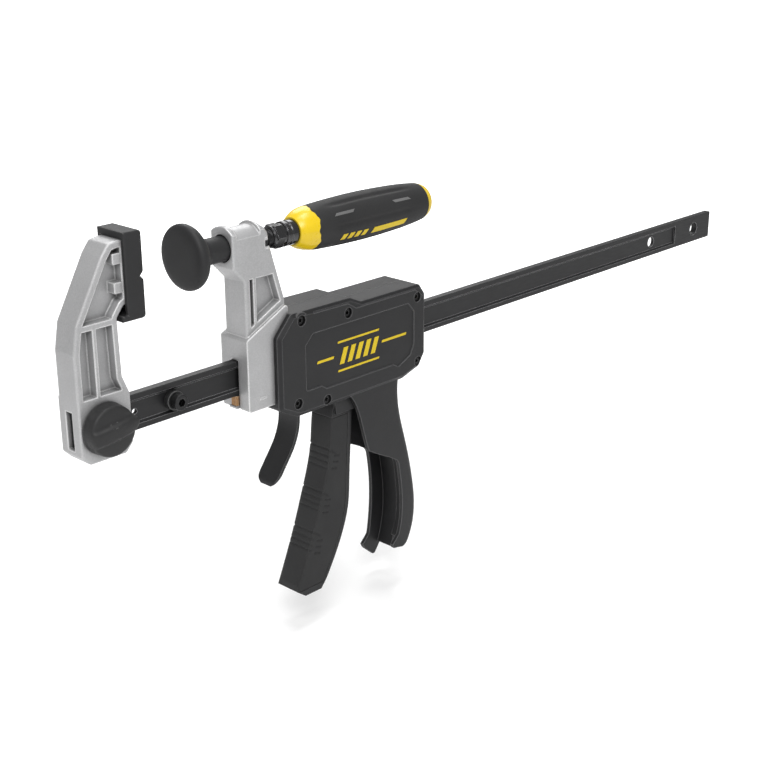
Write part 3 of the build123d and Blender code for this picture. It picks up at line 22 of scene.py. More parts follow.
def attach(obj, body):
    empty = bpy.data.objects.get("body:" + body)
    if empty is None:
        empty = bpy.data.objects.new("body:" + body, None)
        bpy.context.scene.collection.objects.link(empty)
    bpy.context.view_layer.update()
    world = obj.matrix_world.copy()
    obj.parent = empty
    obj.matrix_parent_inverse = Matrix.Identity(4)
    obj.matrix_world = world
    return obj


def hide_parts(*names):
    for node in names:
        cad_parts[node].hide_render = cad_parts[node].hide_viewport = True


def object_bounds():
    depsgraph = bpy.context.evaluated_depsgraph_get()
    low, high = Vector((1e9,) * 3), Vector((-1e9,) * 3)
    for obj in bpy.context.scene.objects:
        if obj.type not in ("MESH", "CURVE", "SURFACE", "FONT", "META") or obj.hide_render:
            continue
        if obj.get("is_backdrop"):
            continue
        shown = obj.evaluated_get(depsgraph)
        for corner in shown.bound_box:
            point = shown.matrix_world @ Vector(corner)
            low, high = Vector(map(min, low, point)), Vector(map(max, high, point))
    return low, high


LOG = logging.getLogger("clamp")
MM = 0.001

Colour = tuple[float, float, float]
Point = tuple[float, float, float]
Pair = tuple[float, float]
Triple = tuple[float, float, float]
Face = tuple[int, ...]
Socket = bpy.types.NodeSocket
Palette = dict[str, bpy.types.Material]

BLACK: Colour = (0.0, 0.0, 0.0)
WHITE: tuple[float, float, float, float] = (1.0, 1.0, 1.0, 1.0)
FULL_TURN = 2.0 * math.pi


class Slot(Enum):
    """The record's material slots; each finish names one."""

    BAR = "bar"
    CASTING = "casting"
    PAD = "pad"
    BLACK_PLASTIC = "black_plastic"
    HOUSING = "housing"
    SOFT_GRIP = "soft_grip"
    YELLOW_PLASTIC = "yellow_plastic"
    STEEL = "steel"
    DARK_STEEL = "dark_steel"
    BLACK_STEEL = "black_steel"
    BRASS = "brass"


class Body(Enum):
    """The moving bodies that new pieces ride on."""

    LOCK = "lock"
    CARRIAGE = "carriage"
    TRIGGER = "trigger"
    PAD = "pad"
    SCREW = "screw"


class Change(Enum):
    """What a form does to the solid that it is put in."""

    ADD = "UNION"
    CUT = "DIFFERENCE"


class Side(Enum):
    """The halves of the housing, with the sign of their Y; the near one has the screws' heads."""

    NEAR = -1
    FAR = 1


# ---------------------------------------------------------------- finishes


class NodeBoard:
    """A material's node tree, with short helpers to add and join nodes.

    Attributes:
        SAMPLES: Rays of the nodes that look at the surroundings.
        EDGE_LIKENESS: How alike the rounded and the flat normal are on the flats and on an edge.
        OPENNESS: How open a place is deep in a corner and on open faces.
    """

    SAMPLES: ClassVar[int] = 6
    EDGE_LIKENESS: ClassVar[Pair] = (0.995, 0.90)
    OPENNESS: ClassVar[Pair] = (0.35, 0.85)

    def __init__(self, name: str) -> None:
        """Starts a material with one shader.

        Args:
            name: The material's name.
        """
        self.material = bpy.data.materials.new(name)
        self.material.use_nodes = True
        self.tree = self.material.node_tree
        self.tree.nodes.clear()
        output = self.tree.nodes.new("ShaderNodeOutputMaterial")
        self.shader = self.tree.nodes.new("ShaderNodeBsdfPrincipled")
        self.join(self.shader.outputs["BSDF"], output.inputs["Surface"])
        self.place = self.tree.nodes.new("ShaderNodeTexCoord").outputs["Object"]

    def join(self, source: Socket, target: Socket) -> None:
        """Joins two sockets."""
        self.tree.links.new(source, target)

    def noise(self, scale: float, detail: float = 3.0, stretch: Point | None = None) -> Socket:
        """Adds a noise texture in object space.

        Args:
            scale: Features per metre.
            detail: Octaves.
            stretch: Factor on each axis, small along the grain of a drawn or ground surface.

        Returns:
            The socket with the noise value.
        """
        node = self.tree.nodes.new("ShaderNodeTexNoise")
        node.inputs["Scale"].default_value = scale
        node.inputs["Detail"].default_value = detail
        place = self.place
        if stretch is not None:
            mapping = self.tree.nodes.new("ShaderNodeMapping")
            mapping.inputs["Scale"].default_value = stretch
            self.join(place, mapping.inputs["Vector"])
            place = mapping.outputs["Vector"]
        self.join(place, node.inputs["Vector"])
        return node.outputs["Fac"]

    def ramp(self, value: Socket, stops: Sequence[tuple[float, Colour]]) -> Socket:
        """Maps a value to colours.

        Args:
            value: The driving socket.
            stops: Positions and colours, from low to high.

        Returns:
            The colour socket.
        """
        node = self.tree.nodes.new("ShaderNodeValToRGB")
        for element, (position, colour) in zip(node.color_ramp.elements, stops):
            element.position = position
            element.color = (*colour, 1.0)
        self.join(value, node.inputs["Fac"])
        return node.outputs["Color"]

    def spread(self, value: Socket, source: Pair, target: Pair) -> Socket:
        """Maps a value from one range to another, held at the ends.

        Args:
            value: The driving socket.
            source: The range it comes in.
            target: The range it goes to.

        Returns:
            The mapped socket.
        """
        node = self.tree.nodes.new("ShaderNodeMapRange")
        for socket, number in zip(("From Min", "From Max", "To Min", "To Max"), (*source, *target)):
            node.inputs[socket].default_value = number
        self.join(value, node.inputs["Value"])
        return node.outputs["Result"]

    def mix(self, share: Socket, first: Socket, second: Colour) -> Socket:
        """Mixes a colour into another.

        Args:
            share: How much of the second colour there is.
            first: The first colour.
            second: The second colour.

        Returns:
            The mixed colour.
        """
        node = self.tree.nodes.new("ShaderNodeMixRGB")
        node.inputs["Color2"].default_value = (*second, 1.0)
        self.join(share, node.inputs["Fac"])
        self.join(first, node.inputs["Color1"])
        return node.outputs["Color"]

    def edges(self, radius: float) -> tuple[Socket, Socket]:
        """Rounds sharp edges in the shading and finds them.

        Args:
            radius: Radius of the rounding, in metres.

        Returns:
            The rounded normal, and a mask that is 1 on the edges and 0 on the flats.
        """
        bevel = self.tree.nodes.new("ShaderNodeBevel")
        bevel.samples = self.SAMPLES
        bevel.inputs["Radius"].default_value = radius
        flat = self.tree.nodes.new("ShaderNodeNewGeometry").outputs["Normal"]
        likeness = self.tree.nodes.new("ShaderNodeVectorMath")
        likeness.operation = "DOT_PRODUCT"
        self.join(bevel.outputs["Normal"], likeness.inputs[0])
        self.join(flat, likeness.inputs[1])
        mask = self.spread(likeness.outputs["Value"], self.EDGE_LIKENESS, (0.0, 1.0))
        return bevel.outputs["Normal"], mask

    def corner_shade_mask(self, reach: float) -> Socket:
        """Finds the inner corners, for the painted shade there.

        Args:
            reach: How far from a corner the shade reaches, in metres.

        Returns:
            A mask that is 1 deep in a corner and 0 on open faces.
        """
        node = self.tree.nodes.new("ShaderNodeAmbientOcclusion")
        node.samples = self.SAMPLES
        node.inputs["Distance"].default_value = reach
        return self.spread(node.outputs["AO"], self.OPENNESS, (1.0, 0.0))

    def bump(self, height: Socket, depth: float, normal: Socket) -> None:
        """Bumps the shader's normal.

        Args:
            height: The socket with the height.
            depth: Depth of the bumps, in metres.
            normal: The normal to start from.
        """
        node = self.tree.nodes.new("ShaderNodeBump")
        node.inputs["Strength"].default_value = 1.0
        node.inputs["Distance"].default_value = depth
        self.join(height, node.inputs["Height"])
        self.join(normal, node.inputs["Normal"])
        self.join(node.outputs["Normal"], self.shader.inputs["Normal"])


@dataclass(frozen=True)
class Finish:
    """A finish: cloudy and speckled colour, a painted highlight with some wear on the edges, painted shade in
    the inner corners, and a fine grain.

    Attributes:
        name: The material's name.
        slot: The record's slot that it stands for; not used.
        colour: Base colour, linear.
        edge_wear_and_highlight_colour: Colour of the painted highlight, with some wear, on the edges.
        edge_wear_and_highlight_share: How much of that painted highlight and wear shows there.
        edge: Radius that softens edges, in metres.
        corner_shade: How much painted shade darkens the inner corners.
        shade: How far the cloudy variation goes, as a share of the colour.
        speckle: How far the speckles go, as a share of the colour.
        roughness: Lowest and highest roughness.
        metallic: 1 for bare metal, 0 for the rest.
        grain: Features per metre of the surface grain.
        grain_depth: Depth of the grain, in metres.
        grain_stretch: Factor on each axis for a drawn grain.
        specular: Specular level.
        coat: Weight of the clear coat.
        CLOUDS: Features per metre of the cloudy variation.
        CLOUD_DETAIL: Octaves of that variation.
        CLOUD_RANGE: Noise values where the colour is darkest and lightest.
        SPECKLE_RANGE: Grain values where a speckle starts and is full.
        GLOSS_RANGE: Grain values of the lowest and the highest roughness.
        CORNER_SHADE_REACH: How far the painted shade of the inner corners reaches, in metres.
        COAT_ROUGHNESS: Roughness of the clear coat.
    """

    CLOUDS: ClassVar[float] = 45.0
    CLOUD_DETAIL: ClassVar[float] = 4.0
    CLOUD_RANGE: ClassVar[Pair] = (0.3, 0.7)
    SPECKLE_RANGE: ClassVar[Pair] = (0.35, 0.65)
    GLOSS_RANGE: ClassVar[Pair] = (0.3, 0.7)
    CORNER_SHADE_REACH: ClassVar[float] = 0.004
    COAT_ROUGHNESS: ClassVar[float] = 0.2

    name: str
    slot: Slot
    colour: Colour
    edge_wear_and_highlight_colour: Colour
    edge_wear_and_highlight_share: float = 0.6
    edge: float = 0.0005
    corner_shade: float = 0.4
    shade: float = 0.10
    speckle: float = 0.05
    roughness: Pair = (0.45, 0.6)
    metallic: float = 0.0
    grain: float = 2500.0
    grain_depth: float = 0.00002
    grain_stretch: Point | None = None
    specular: float = 0.3
    coat: float = 0.0

    def tint(self, factor: float) -> Colour:
        """The base colour times a factor, at most 1 in each channel."""
        return tuple(min(1.0, channel * factor) for channel in self.colour)

    def build(self) -> bpy.types.Material:
        """Builds the material.

        Returns:
            The finished material.
        """
        board = NodeBoard(self.name)
        clouds = board.noise(self.CLOUDS, self.CLOUD_DETAIL)
        grain = board.noise(self.grain, stretch=self.grain_stretch)
        tints = (self.tint(1.0 - self.shade), self.tint(1.0 + self.shade))
        colour = board.ramp(clouds, tuple(zip(self.CLOUD_RANGE, tints)))
        speckles = board.spread(grain, self.SPECKLE_RANGE, (0.0, 2.0 * self.speckle))
        colour = board.mix(speckles, colour, BLACK)
        rounded, edges = board.edges(self.edge)
        # Painted highlight, with some wear, lightens the colour along the edges.
        worn_and_highlit = board.spread(edges, (0.0, 1.0), (0.0, self.edge_wear_and_highlight_share))
        colour = board.mix(worn_and_highlit, colour, self.edge_wear_and_highlight_colour)
        # Painted shade darkens the colour in the inner corners.
        painted_shade = board.spread(board.corner_shade_mask(self.CORNER_SHADE_REACH), (0.0, 1.0), (0.0, self.corner_shade))
        colour = board.mix(painted_shade, colour, BLACK)
        shader = board.shader
        board.join(colour, shader.inputs["Base Color"])
        board.join(board.spread(grain, self.GLOSS_RANGE, self.roughness), shader.inputs["Roughness"])
        shader.inputs["Metallic"].default_value = self.metallic
        shader.inputs["Specular IOR Level"].default_value = self.specular
        shader.inputs["Coat Weight"].default_value = self.coat
        shader.inputs["Coat Roughness"].default_value = self.COAT_ROUGHNESS
        board.bump(grain, self.grain_depth, rounded)
        return board.material


# The second colour of each finish is the painted highlight, with some wear, on its edges.
CAST_SILVER = Finish(
    "cast_silver", Slot.CASTING, (0.46, 0.46, 0.465), (0.97, 0.97, 0.97), edge_wear_and_highlight_share=0.9, edge=0.0014,
    corner_shade=0.5, shade=0.06, speckle=0.05, roughness=(0.36, 0.50), metallic=0.4, grain=1300.0,
    grain_depth=0.00007, specular=0.5,
)
BAR_BLACK = Finish(
    "bar_black", Slot.BAR, (0.012, 0.012, 0.013), (0.45, 0.45, 0.46), edge_wear_and_highlight_share=0.9, edge=0.0005,
    corner_shade=0.8, shade=0.15, roughness=(0.34, 0.48), grain=1800.0, grain_depth=0.000012,
    grain_stretch=(0.06, 1.0, 1.0), specular=0.35,
)
PAD_BLACK = Finish(
    "pad_black", Slot.PAD, (0.024, 0.024, 0.025), (0.16, 0.16, 0.16), edge_wear_and_highlight_share=0.6, edge=0.001,
    roughness=(0.46, 0.62), grain=2200.0, grain_depth=0.00004,
)
KNOB_BLACK = Finish(
    "knob_black", Slot.BLACK_PLASTIC, (0.026, 0.026, 0.0265), (0.20, 0.20, 0.20), edge_wear_and_highlight_share=0.7,
    edge=0.001, corner_shade=0.6, roughness=(0.4, 0.55), grain=2600.0, grain_depth=0.00003,
)
HOUSING_BLACK = Finish(
    "housing_black", Slot.HOUSING, (0.018, 0.018, 0.019), (0.15, 0.15, 0.153), edge_wear_and_highlight_share=0.8, edge=0.001,
    corner_shade=0.65, roughness=(0.40, 0.55), grain=3000.0, grain_depth=0.00003,
)
TRIGGER_BLACK = Finish(
    "trigger_black", Slot.BLACK_PLASTIC, (0.022, 0.022, 0.023), (0.09, 0.09, 0.09), edge_wear_and_highlight_share=0.5,
    edge=0.0008, corner_shade=0.6, roughness=(0.44, 0.58), grain=2600.0, grain_depth=0.00003,
)
SOFT_BLACK = Finish(
    "soft_black", Slot.SOFT_GRIP, (0.030, 0.030, 0.0305), (0.10, 0.10, 0.10), edge_wear_and_highlight_share=0.35,
    edge=0.0007, corner_shade=0.6, roughness=(0.58, 0.72), grain=2800.0, grain_depth=0.00004, specular=0.25,
)
SIGNAL_YELLOW = Finish(
    "signal_yellow", Slot.YELLOW_PLASTIC, (0.80, 0.56, 0.008), (0.93, 0.76, 0.12), edge_wear_and_highlight_share=0.4,
    corner_shade=0.25, shade=0.05, speckle=0.01, roughness=(0.26, 0.34), grain=900.0, grain_depth=0.000008,
    specular=0.45, coat=0.15,
)
PRINT_YELLOW = Finish(
    "print_yellow", Slot.YELLOW_PLASTIC, (0.76, 0.55, 0.012), (0.86, 0.66, 0.05), edge_wear_and_highlight_share=0.1,
    edge=0.0001, corner_shade=0.0, shade=0.04, speckle=0.04, roughness=(0.4, 0.5), grain=2400.0,
    grain_depth=0.000006,
)
INLAY_GREY = Finish(
    "inlay_grey", Slot.SOFT_GRIP, (0.16, 0.16, 0.16), (0.2, 0.2, 0.2), edge_wear_and_highlight_share=0.2, edge=0.0002,
    corner_shade=0.0, roughness=(0.5, 0.6), grain=2400.0, grain_depth=0.00001,
)
GROUND_STEEL = Finish(
    "ground_steel", Slot.STEEL, (0.50, 0.50, 0.51), (0.8, 0.8, 0.8), edge_wear_and_highlight_share=0.4, edge=0.0003,
    shade=0.08, roughness=(0.25, 0.4), metallic=1.0, grain=2600.0, grain_depth=0.00001,
    grain_stretch=(0.2, 1.0, 1.0),
)
POLISHED_BLACK = Finish(
    "polished_black", Slot.DARK_STEEL, (0.045, 0.045, 0.047), (0.30, 0.30, 0.31), edge_wear_and_highlight_share=0.5,
    edge=0.0004, shade=0.12, roughness=(0.14, 0.24), metallic=0.85, grain=1200.0, grain_depth=0.000006,
    coat=0.6,
)
BLACKENED_STEEL = Finish(
    "blackened_steel", Slot.BLACK_STEEL, (0.028, 0.028, 0.029), (0.20, 0.20, 0.20), edge_wear_and_highlight_share=0.55,
    edge=0.0004, corner_shade=0.8, shade=0.2, roughness=(0.28, 0.42), metallic=0.6, grain=2400.0,
    grain_depth=0.00001,
)
LEVER_BLACK = Finish(
    "lever_black", Slot.BLACK_STEEL, (0.020, 0.020, 0.021), (0.17, 0.17, 0.17), edge_wear_and_highlight_share=0.7,
    edge=0.0005, roughness=(0.34, 0.48), grain=1800.0, grain_depth=0.00002,
)
BRASS = Finish(
    "brass", Slot.BRASS, (0.34, 0.19, 0.09), (0.80, 0.62, 0.45), edge_wear_and_highlight_share=0.6, edge=0.0006, shade=0.3,
    speckle=0.12, roughness=(0.28, 0.42), metallic=0.9, grain=1100.0, grain_depth=0.00002,
)
FINISHES = (
    CAST_SILVER, BAR_BLACK, PAD_BLACK, KNOB_BLACK, HOUSING_BLACK, TRIGGER_BLACK, SOFT_BLACK, SIGNAL_YELLOW,
    PRINT_YELLOW, INLAY_GREY, GROUND_STEEL, POLISHED_BLACK, BLACKENED_STEEL, LEVER_BLACK, BRASS,
)


# ---------------------------------------------------------------- mesh tools

WELD = 1e-6  # points nearer than this are one point, in metres
MADE_CREASE = 35.0  # angle of a sharp edge on pieces made here, in degrees
COPIED_CREASE = 30.0  # the same on reshaped copies of nodes
DISC_STEPS = 40  # corners of a round outline


def show(name: str, data: bpy.types.ID) -> bpy.types.Object:
    """Makes an object and links it to the scene.

    Args:
        name: The object's name.
        data: Its mesh, lamp or camera.

    Returns:
        The new object.
    """
    shown = bpy.data.objects.new(name, data)
    bpy.context.scene.collection.objects.link(shown)
    return shown


def mend(mesh: bpy.types.Mesh, weld: bool = True, outwards: bool = True) -> None:
    """Cleans a mesh.

    Args:
        mesh: The mesh.
        weld: Whether points that lie on each other are joined.
        outwards: Whether the faces are turned outwards.
    """
    shell = bmesh.new()
    shell.from_mesh(mesh)
    if weld:
        bmesh.ops.remove_doubles(shell, verts=shell.verts, dist=WELD)
    if outwards:
        bmesh.ops.recalc_face_normals(shell, faces=shell.faces)
    shell.to_mesh(mesh)
    shell.free()


def smooth(mesh: bpy.types.Mesh, crease: float) -> None:
    """Shades a mesh smooth, with sharp edges where faces meet at more than the crease, in degrees."""
    mesh.shade_smooth()
    mesh.set_sharp_from_angle(angle=math.radians(crease))


def evaluated(piece: bpy.types.Object) -> bpy.types.Mesh:
    """The mesh that a piece has after its modifiers."""
    return bpy.data.meshes.new_from_object(piece.evaluated_get(bpy.context.evaluated_depsgraph_get()))


def new_piece(name: str, points: Sequence[Point], faces: Sequence[Face]) -> bpy.types.Object:
    """Makes a piece from points in millimetres.

    Args:
        name: The piece's name.
        points: Its corners.
        faces: Its faces, as rows of corner numbers.

    Returns:
        The new object, linked to the scene.
    """
    mesh = bpy.data.meshes.new(name)
    mesh.from_pydata([Vector(point) * MM for point in points], [], faces)
    mend(mesh, weld=False)
    smooth(mesh, MADE_CREASE)
    return show(name, mesh)


def hoop(first: int, second: int, segments: int) -> list[Face]:
    """The faces between two rings of points.

    Args:
        first: Number of the first ring's first point.
        second: Number of the second ring's first point.
        segments: Points in each ring.

    Returns:
        One face for each step round the rings.
    """
    steps = [(step, (step + 1) % segments) for step in range(segments)]
    return [(first + here, first + beside, second + beside, second + here) for here, beside in steps]


def turned(
    name: str,
    profile: Sequence[Pair],
    reach: Callable[[float, float, float], float] = lambda x, turn, radius: radius,
    slide: Callable[[float, float], float] = lambda x, turn: x,
    segments: int = 96,
) -> bpy.types.Object:
    """Turns a closed profile about the screw's axis.

    Args:
        name: The piece's name.
        profile: Points of distance along the axis and radius. Where it starts and ends on the axis it is a
            solid, otherwise a sleeve.
        reach: Changes the radius with the distance along the axis and the turn.
        slide: Changes the distance along the axis with the turn.
        segments: Steps round the axis.

    Returns:
        The new object.
    """
    points: list[Point] = []
    for x, radius in profile:
        for step in range(segments):
            turn = FULL_TURN * step / segments
            far = reach(x, turn, radius) if radius > 0.0 else 0.0
            points.append((slide(x, turn), far * math.cos(turn), far * math.sin(turn)))
    sleeve = profile[0][1] > 0.0
    rows = len(profile)
    faces: list[Face] = []
    for row in range(rows if sleeve else rows - 1):
        faces += hoop(row * segments, (row + 1) % rows * segments, segments)
    piece = new_piece(name, points, faces)
    mend(piece.data)
    return piece


def plate(
    name: str, outlines: Sequence[Sequence[Pair]], inner: float, outer: float, along_x: bool = False
) -> bpy.types.Object:
    """Makes flat plates or bars with straight sides.

    Args:
        name: The piece's name.
        outlines: The outlines, as X and Z, or as Y and Z for plates along X.
        inner: Y of one face, or X for plates along X.
        outer: Y of the other face, or X for plates along X.
        along_x: Whether the plates stand along X, instead of along Y.

    Returns:
        The new object.
    """
    points: list[Point] = []
    faces: list[Face] = []
    for outline in outlines:
        start, count = len(points), len(outline)
        for face in (inner, outer):
            points += [(face, side, z) if along_x else (side, face, z) for side, z in outline]
        faces.append(tuple(range(start, start + count)))
        faces.append(tuple(range(start + count, start + 2 * count)))
        faces += hoop(start, start + count, count)
    return new_piece(name, points, faces)


def arc(centre: Pair, radius: float, turns: Sequence[float]) -> list[Pair]:
    """Points on a circle.

    Args:
        centre: The circle's centre.
        radius: Its radius.
        turns: The points' turns from the first axis, in radians.

    Returns:
        One point for each turn.
    """
    return [(centre[0] + radius * math.cos(turn), centre[1] + radius * math.sin(turn)) for turn in turns]


def disc(centre: Pair, radius: float) -> list[Pair]:
    """The outline of a circle."""
    return arc(centre, radius, [FULL_TURN * step / DISC_STEPS for step in range(DISC_STEPS)])


def copied(name: str, node: str) -> bpy.types.Object:
    """Makes a piece from a node's mesh, without its carried normals and with its points joined.

    Args:
        name: The piece's name.
        node: The node whose mesh is copied.

    Returns:
        The new object.
    """
    piece = show(name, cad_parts[node].data.copy())
    carried = piece.data.attributes.get("custom_normal")
    if carried is not None:
        piece.data.attributes.remove(carried)
    mend(piece.data, outwards=False)
    return piece


def reshaped(name: str, node: str, tools: Sequence[tuple[Change, bpy.types.Object]]) -> bpy.types.Object:
    """Makes a new piece from a copy of a node's mesh, with some forms added and others cut away.

    Args:
        name: The new piece's name.
        node: The node whose mesh is copied.
        tools: What is done with each form, and the form, which is used up.

    Returns:
        The new object.
    """
    blank = copied(f"{name}_blank", node)
    for change, form in tools:
        step = blank.modifiers.new(form.name, "BOOLEAN")
        step.operation, step.solver, step.object = change.value, "EXACT", form
    mesh = evaluated(blank)
    for spent in (blank, *(form for _, form in tools)):
        bpy.data.objects.remove(spent)
    mesh.polygons.foreach_set("material_index", [0] * len(mesh.polygons))
    smooth(mesh, COPIED_CREASE)
    return show(name, mesh)


def smooth_rows(knots: Sequence[Pair], step: float) -> list[Pair]:
    """Fills a profile in with a smooth curve through its knots.

    Args:
        knots: Points of distance and radius, in order of distance.
        step: Spacing of the new points, in millimetres.

    Returns:
        The filled in profile.
    """
    rows: list[Pair] = []
    for index in range(len(knots) - 1):
        (x0, r0), (x1, r1) = knots[index], knots[index + 1]
        before = knots[max(0, index - 1)]
        after = knots[min(len(knots) - 1, index + 2)]
        slope0 = (r1 - before[1]) / (x1 - before[0])
        slope1 = (after[1] - r0) / (after[0] - x0)
        count = max(1, round((x1 - x0) / step))
        for tick in range(count):
            t = tick / count
            ends = (2 * t**3 - 3 * t**2 + 1) * r0 + (-2 * t**3 + 3 * t**2) * r1
            slopes = (t**3 - 2 * t**2 + t) * slope0 + (t**3 - t**2) * slope1
            rows.append((x0 + (x1 - x0) * t, ends + slopes * (x1 - x0)))
    rows.append(knots[-1])
    return rows


def held(value: float) -> float:
    """A value held between 0 and 1."""
    return min(1.0, max(0.0, value))


def bell(value: float) -> float:
    """A smooth hump, 1 at 0 and 0 from 1 on."""
    return (1.0 - value * value) ** 2 if abs(value) < 1.0 else 0.0


# ---------------------------------------------------------------- sub-assemblies


@dataclass
class SubAssembly:
    """A group of nodes with one finish each, and the fine pieces that go on them.

    Attributes:
        DRESS: The finish of each node.
    """

    DRESS: ClassVar[dict[str, Finish]] = {}

    def build(self, palette: Palette) -> list[str]:
        """Dresses the nodes and adds the fine pieces.

        Args:
            palette: Materials by name.

        Returns:
            The names of the pieces it dressed or made.
        """
        for node, finish in self.DRESS.items():
            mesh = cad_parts[node].data
            mesh.materials.clear()
            mesh.materials.append(palette[finish.name])
        return [*self.DRESS, *self.add_pieces(palette)]

    def add_pieces(self, palette: Palette) -> list[str]:
        """Adds the fine pieces; a group without any adds none.

        Args:
            palette: Materials by name.

        Returns:
            The new pieces' names.
        """
        return []

    def settle(
        self,
        piece: bpy.types.Object,
        finish: Finish,
        body: Body,
        palette: Palette,
        replaced: Sequence[str] = (),
    ) -> str:
        """Gives a piece its finish and the body that it rides on.

        Args:
            piece: The new piece.
            finish: Its finish.
            body: The body that carries it.
            palette: Materials by name.
            replaced: The nodes that it stands for.

        Returns:
            The piece's name.
        """
        piece.data.materials.clear()
        piece.data.materials.append(palette[finish.name])
        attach(piece, body.value)
        if replaced:
            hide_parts(*replaced)
        return piece.name


@dataclass
class Bar(SubAssembly):
    """The grooved bar with its stop screw."""

    DRESS: ClassVar[dict[str, Finish]] = {
        "bar": BAR_BLACK,
        "stop_screw": BLACKENED_STEEL,
        "stop_bush": KNOB_BLACK,
        "stop_nut": BLACKENED_STEEL,
    }


@dataclass
class FixedJaw(SubAssembly):
    """The fixed jaw with its pad and its lock.

    Attributes:
        knob_axis: X and Z of the knob's axis.
        knob_base: Y of the knob's flat back.
        knob_height: Height of the knob's cap over its back.
        knob_radius: Radius of the knob.
        knob_bore: Radius and depth of the knob's hollow, and of the hole for the pin at its end.
        knob_steps: Steps round the knob.
        back_edge: Bevel round the knob's back, as a share of radius and height.
        wall: How far each row of the wall steps in and up, as shares of radius and height.
        wall_rows: Rows of the wall.
        edge: Where the rounded edge starts, and how far it goes in and up, as the same shares.
        edge_turns: Turns of the rows of that edge, in radians.
        dome: Where the low dome starts, as the same shares.
        dome_power: How flat the dome is, 2 for a plain parabola.
        dome_rows: Rows of the dome.
        dish: How far the cap sinks beside the ridge.
        dish_foot: Height where the dish starts, as a share of the whole height.
        ridge: Half width of the ridge.
        ridge_flank: Width of the slope beside the ridge.
        pointer: How far the pointer reaches past the rim.
        pointer_width: Half width of the pointer, in radians.
        pointer_turn: How far the pointer stands above the bar's direction, in degrees.
    """

    knob_axis: Pair = (-59.9, -74.0)
    knob_base: float = -9.0
    knob_height: float = 11.2
    knob_radius: float = 13.9
    knob_bore: tuple[Pair, ...] = ((6.76, 0.0), (6.76, 7.1), (3.5, 7.1), (3.5, 9.75))
    knob_steps: int = 120
    back_edge: float = 0.05
    wall: Pair = (0.005, 0.1)
    wall_rows: int = 4
    edge: tuple[Pair, Pair] = ((0.975, 0.48), (0.13, 0.36))
    edge_turns: tuple[float, ...] = (0.0, 0.25, 0.5, 0.75, 1.0, 1.25)
    dome: Pair = (0.87, 0.84)
    dome_power: float = 2.4
    dome_rows: int = 16
    dish: float = 2.3
    dish_foot: float = 0.62
    ridge: float = 2.9
    ridge_flank: float = 2.2
    pointer: float = 2.6
    pointer_width: float = 0.34
    pointer_turn: float = 8.0

    DRESS: ClassVar[dict[str, Finish]] = {
        "fixed_jaw": CAST_SILVER,
        "fixed_pad": PAD_BLACK,
        "lock_tube": BLACKENED_STEEL,
        "lock_pin": GROUND_STEEL,
        "lock_clip": GROUND_STEEL,
        "lock_spring": GROUND_STEEL,
        "lock_knob": KNOB_BLACK,
    }

    def on_knob(self, radius: float, turn: float, rise: float) -> Point:
        """A place given round the knob's axis.

        Args:
            radius: Distance from the axis.
            turn: Turn from the pointer, in radians.
            rise: Height over the back.

        Returns:
            The place in the frame, in millimetres.
        """
        lean = turn + math.radians(self.pointer_turn)
        x = self.knob_axis[0] + radius * math.cos(lean)
        z = self.knob_axis[1] + radius * math.sin(lean)
        return (x, self.knob_base - rise, z)

    def cap_point(self, distance: float, turn: float, height: float) -> Point:
        """A place on the knob's outside, with the pointer and the dish worked in.

        Args:
            distance: Distance from the axis, as a share of the radius.
            turn: Turn from the pointer, in radians.
            height: Height over the back, as a share of the whole height.

        Returns:
            The place in the frame, in millimetres.
        """
        lobe = bell(math.remainder(turn, FULL_TURN) / self.pointer_width)
        radius = distance * (self.knob_radius + self.pointer * lobe)
        across = abs(radius * math.sin(turn))
        top = max(0.0, (height - self.dish_foot) / (1.0 - self.dish_foot))
        beside = held((across - self.ridge) / self.ridge_flank)
        sunk = self.dish * top * beside * beside * (3.0 - 2.0 * beside)
        return self.on_knob(radius, turn, self.knob_height * height - sunk)

    def cap_rows(self) -> list[Pair]:
        """The profile of the knob's outside: bevel, wall, rounded edge and dome.

        Returns:
            Distance from the axis and height over the back, as shares of radius and height.
        """
        rows = [(1.0 - self.back_edge, 0.0), (1.0, self.back_edge)]
        for tick in range(1, self.wall_rows + 1):
            rows.append((1.0 - self.wall[0] * tick, self.back_edge + self.wall[1] * tick))
        (distance, height), (inwards, upwards) = self.edge
        for turn in self.edge_turns:
            rows.append((distance - inwards * (1.0 - math.cos(turn)), height + upwards * math.sin(turn)))
        distance, height = self.dome
        for tick in range(1, self.dome_rows):
            left = 1.0 - tick / self.dome_rows
            rows.append((distance * left, height + (1.0 - height) * (1.0 - left**self.dome_power)))
        return rows

    def knob(self) -> bpy.types.Object:
        """Makes the domed knob with its ridge, its pointer and its blind hole.

        Returns:
            The new object.
        """
        segments = self.knob_steps
        turns = [FULL_TURN * step / segments for step in range(segments)]
        points: list[Point] = []
        faces: list[Face] = []
        for distance, height in self.cap_rows():
            points += [self.cap_point(distance, turn, height) for turn in turns]
        last, tip = len(points) - segments, len(points)
        points.append(self.cap_point(0.0, 0.0, 1.0))
        for ring in range(0, last, segments):
            faces += hoop(ring, ring + segments, segments)
        faces += [(last + step, last + (step + 1) % segments, tip) for step in range(segments)]
        outer = 0
        for radius, depth in self.knob_bore:
            inner = len(points)
            points += [self.on_knob(radius, turn, depth) for turn in turns]
            faces += hoop(outer, inner, segments)
            outer = inner
        faces.append(tuple(range(outer, outer + segments)))
        return new_piece("domed_knob", points, faces)

    def add_pieces(self, palette: Palette) -> list[str]:
        """Adds the domed knob.

        Args:
            palette: Materials by name.

        Returns:
            The new piece's name.
        """
        return [self.settle(self.knob(), KNOB_BLACK, Body.LOCK, palette, ("lock_knob",))]


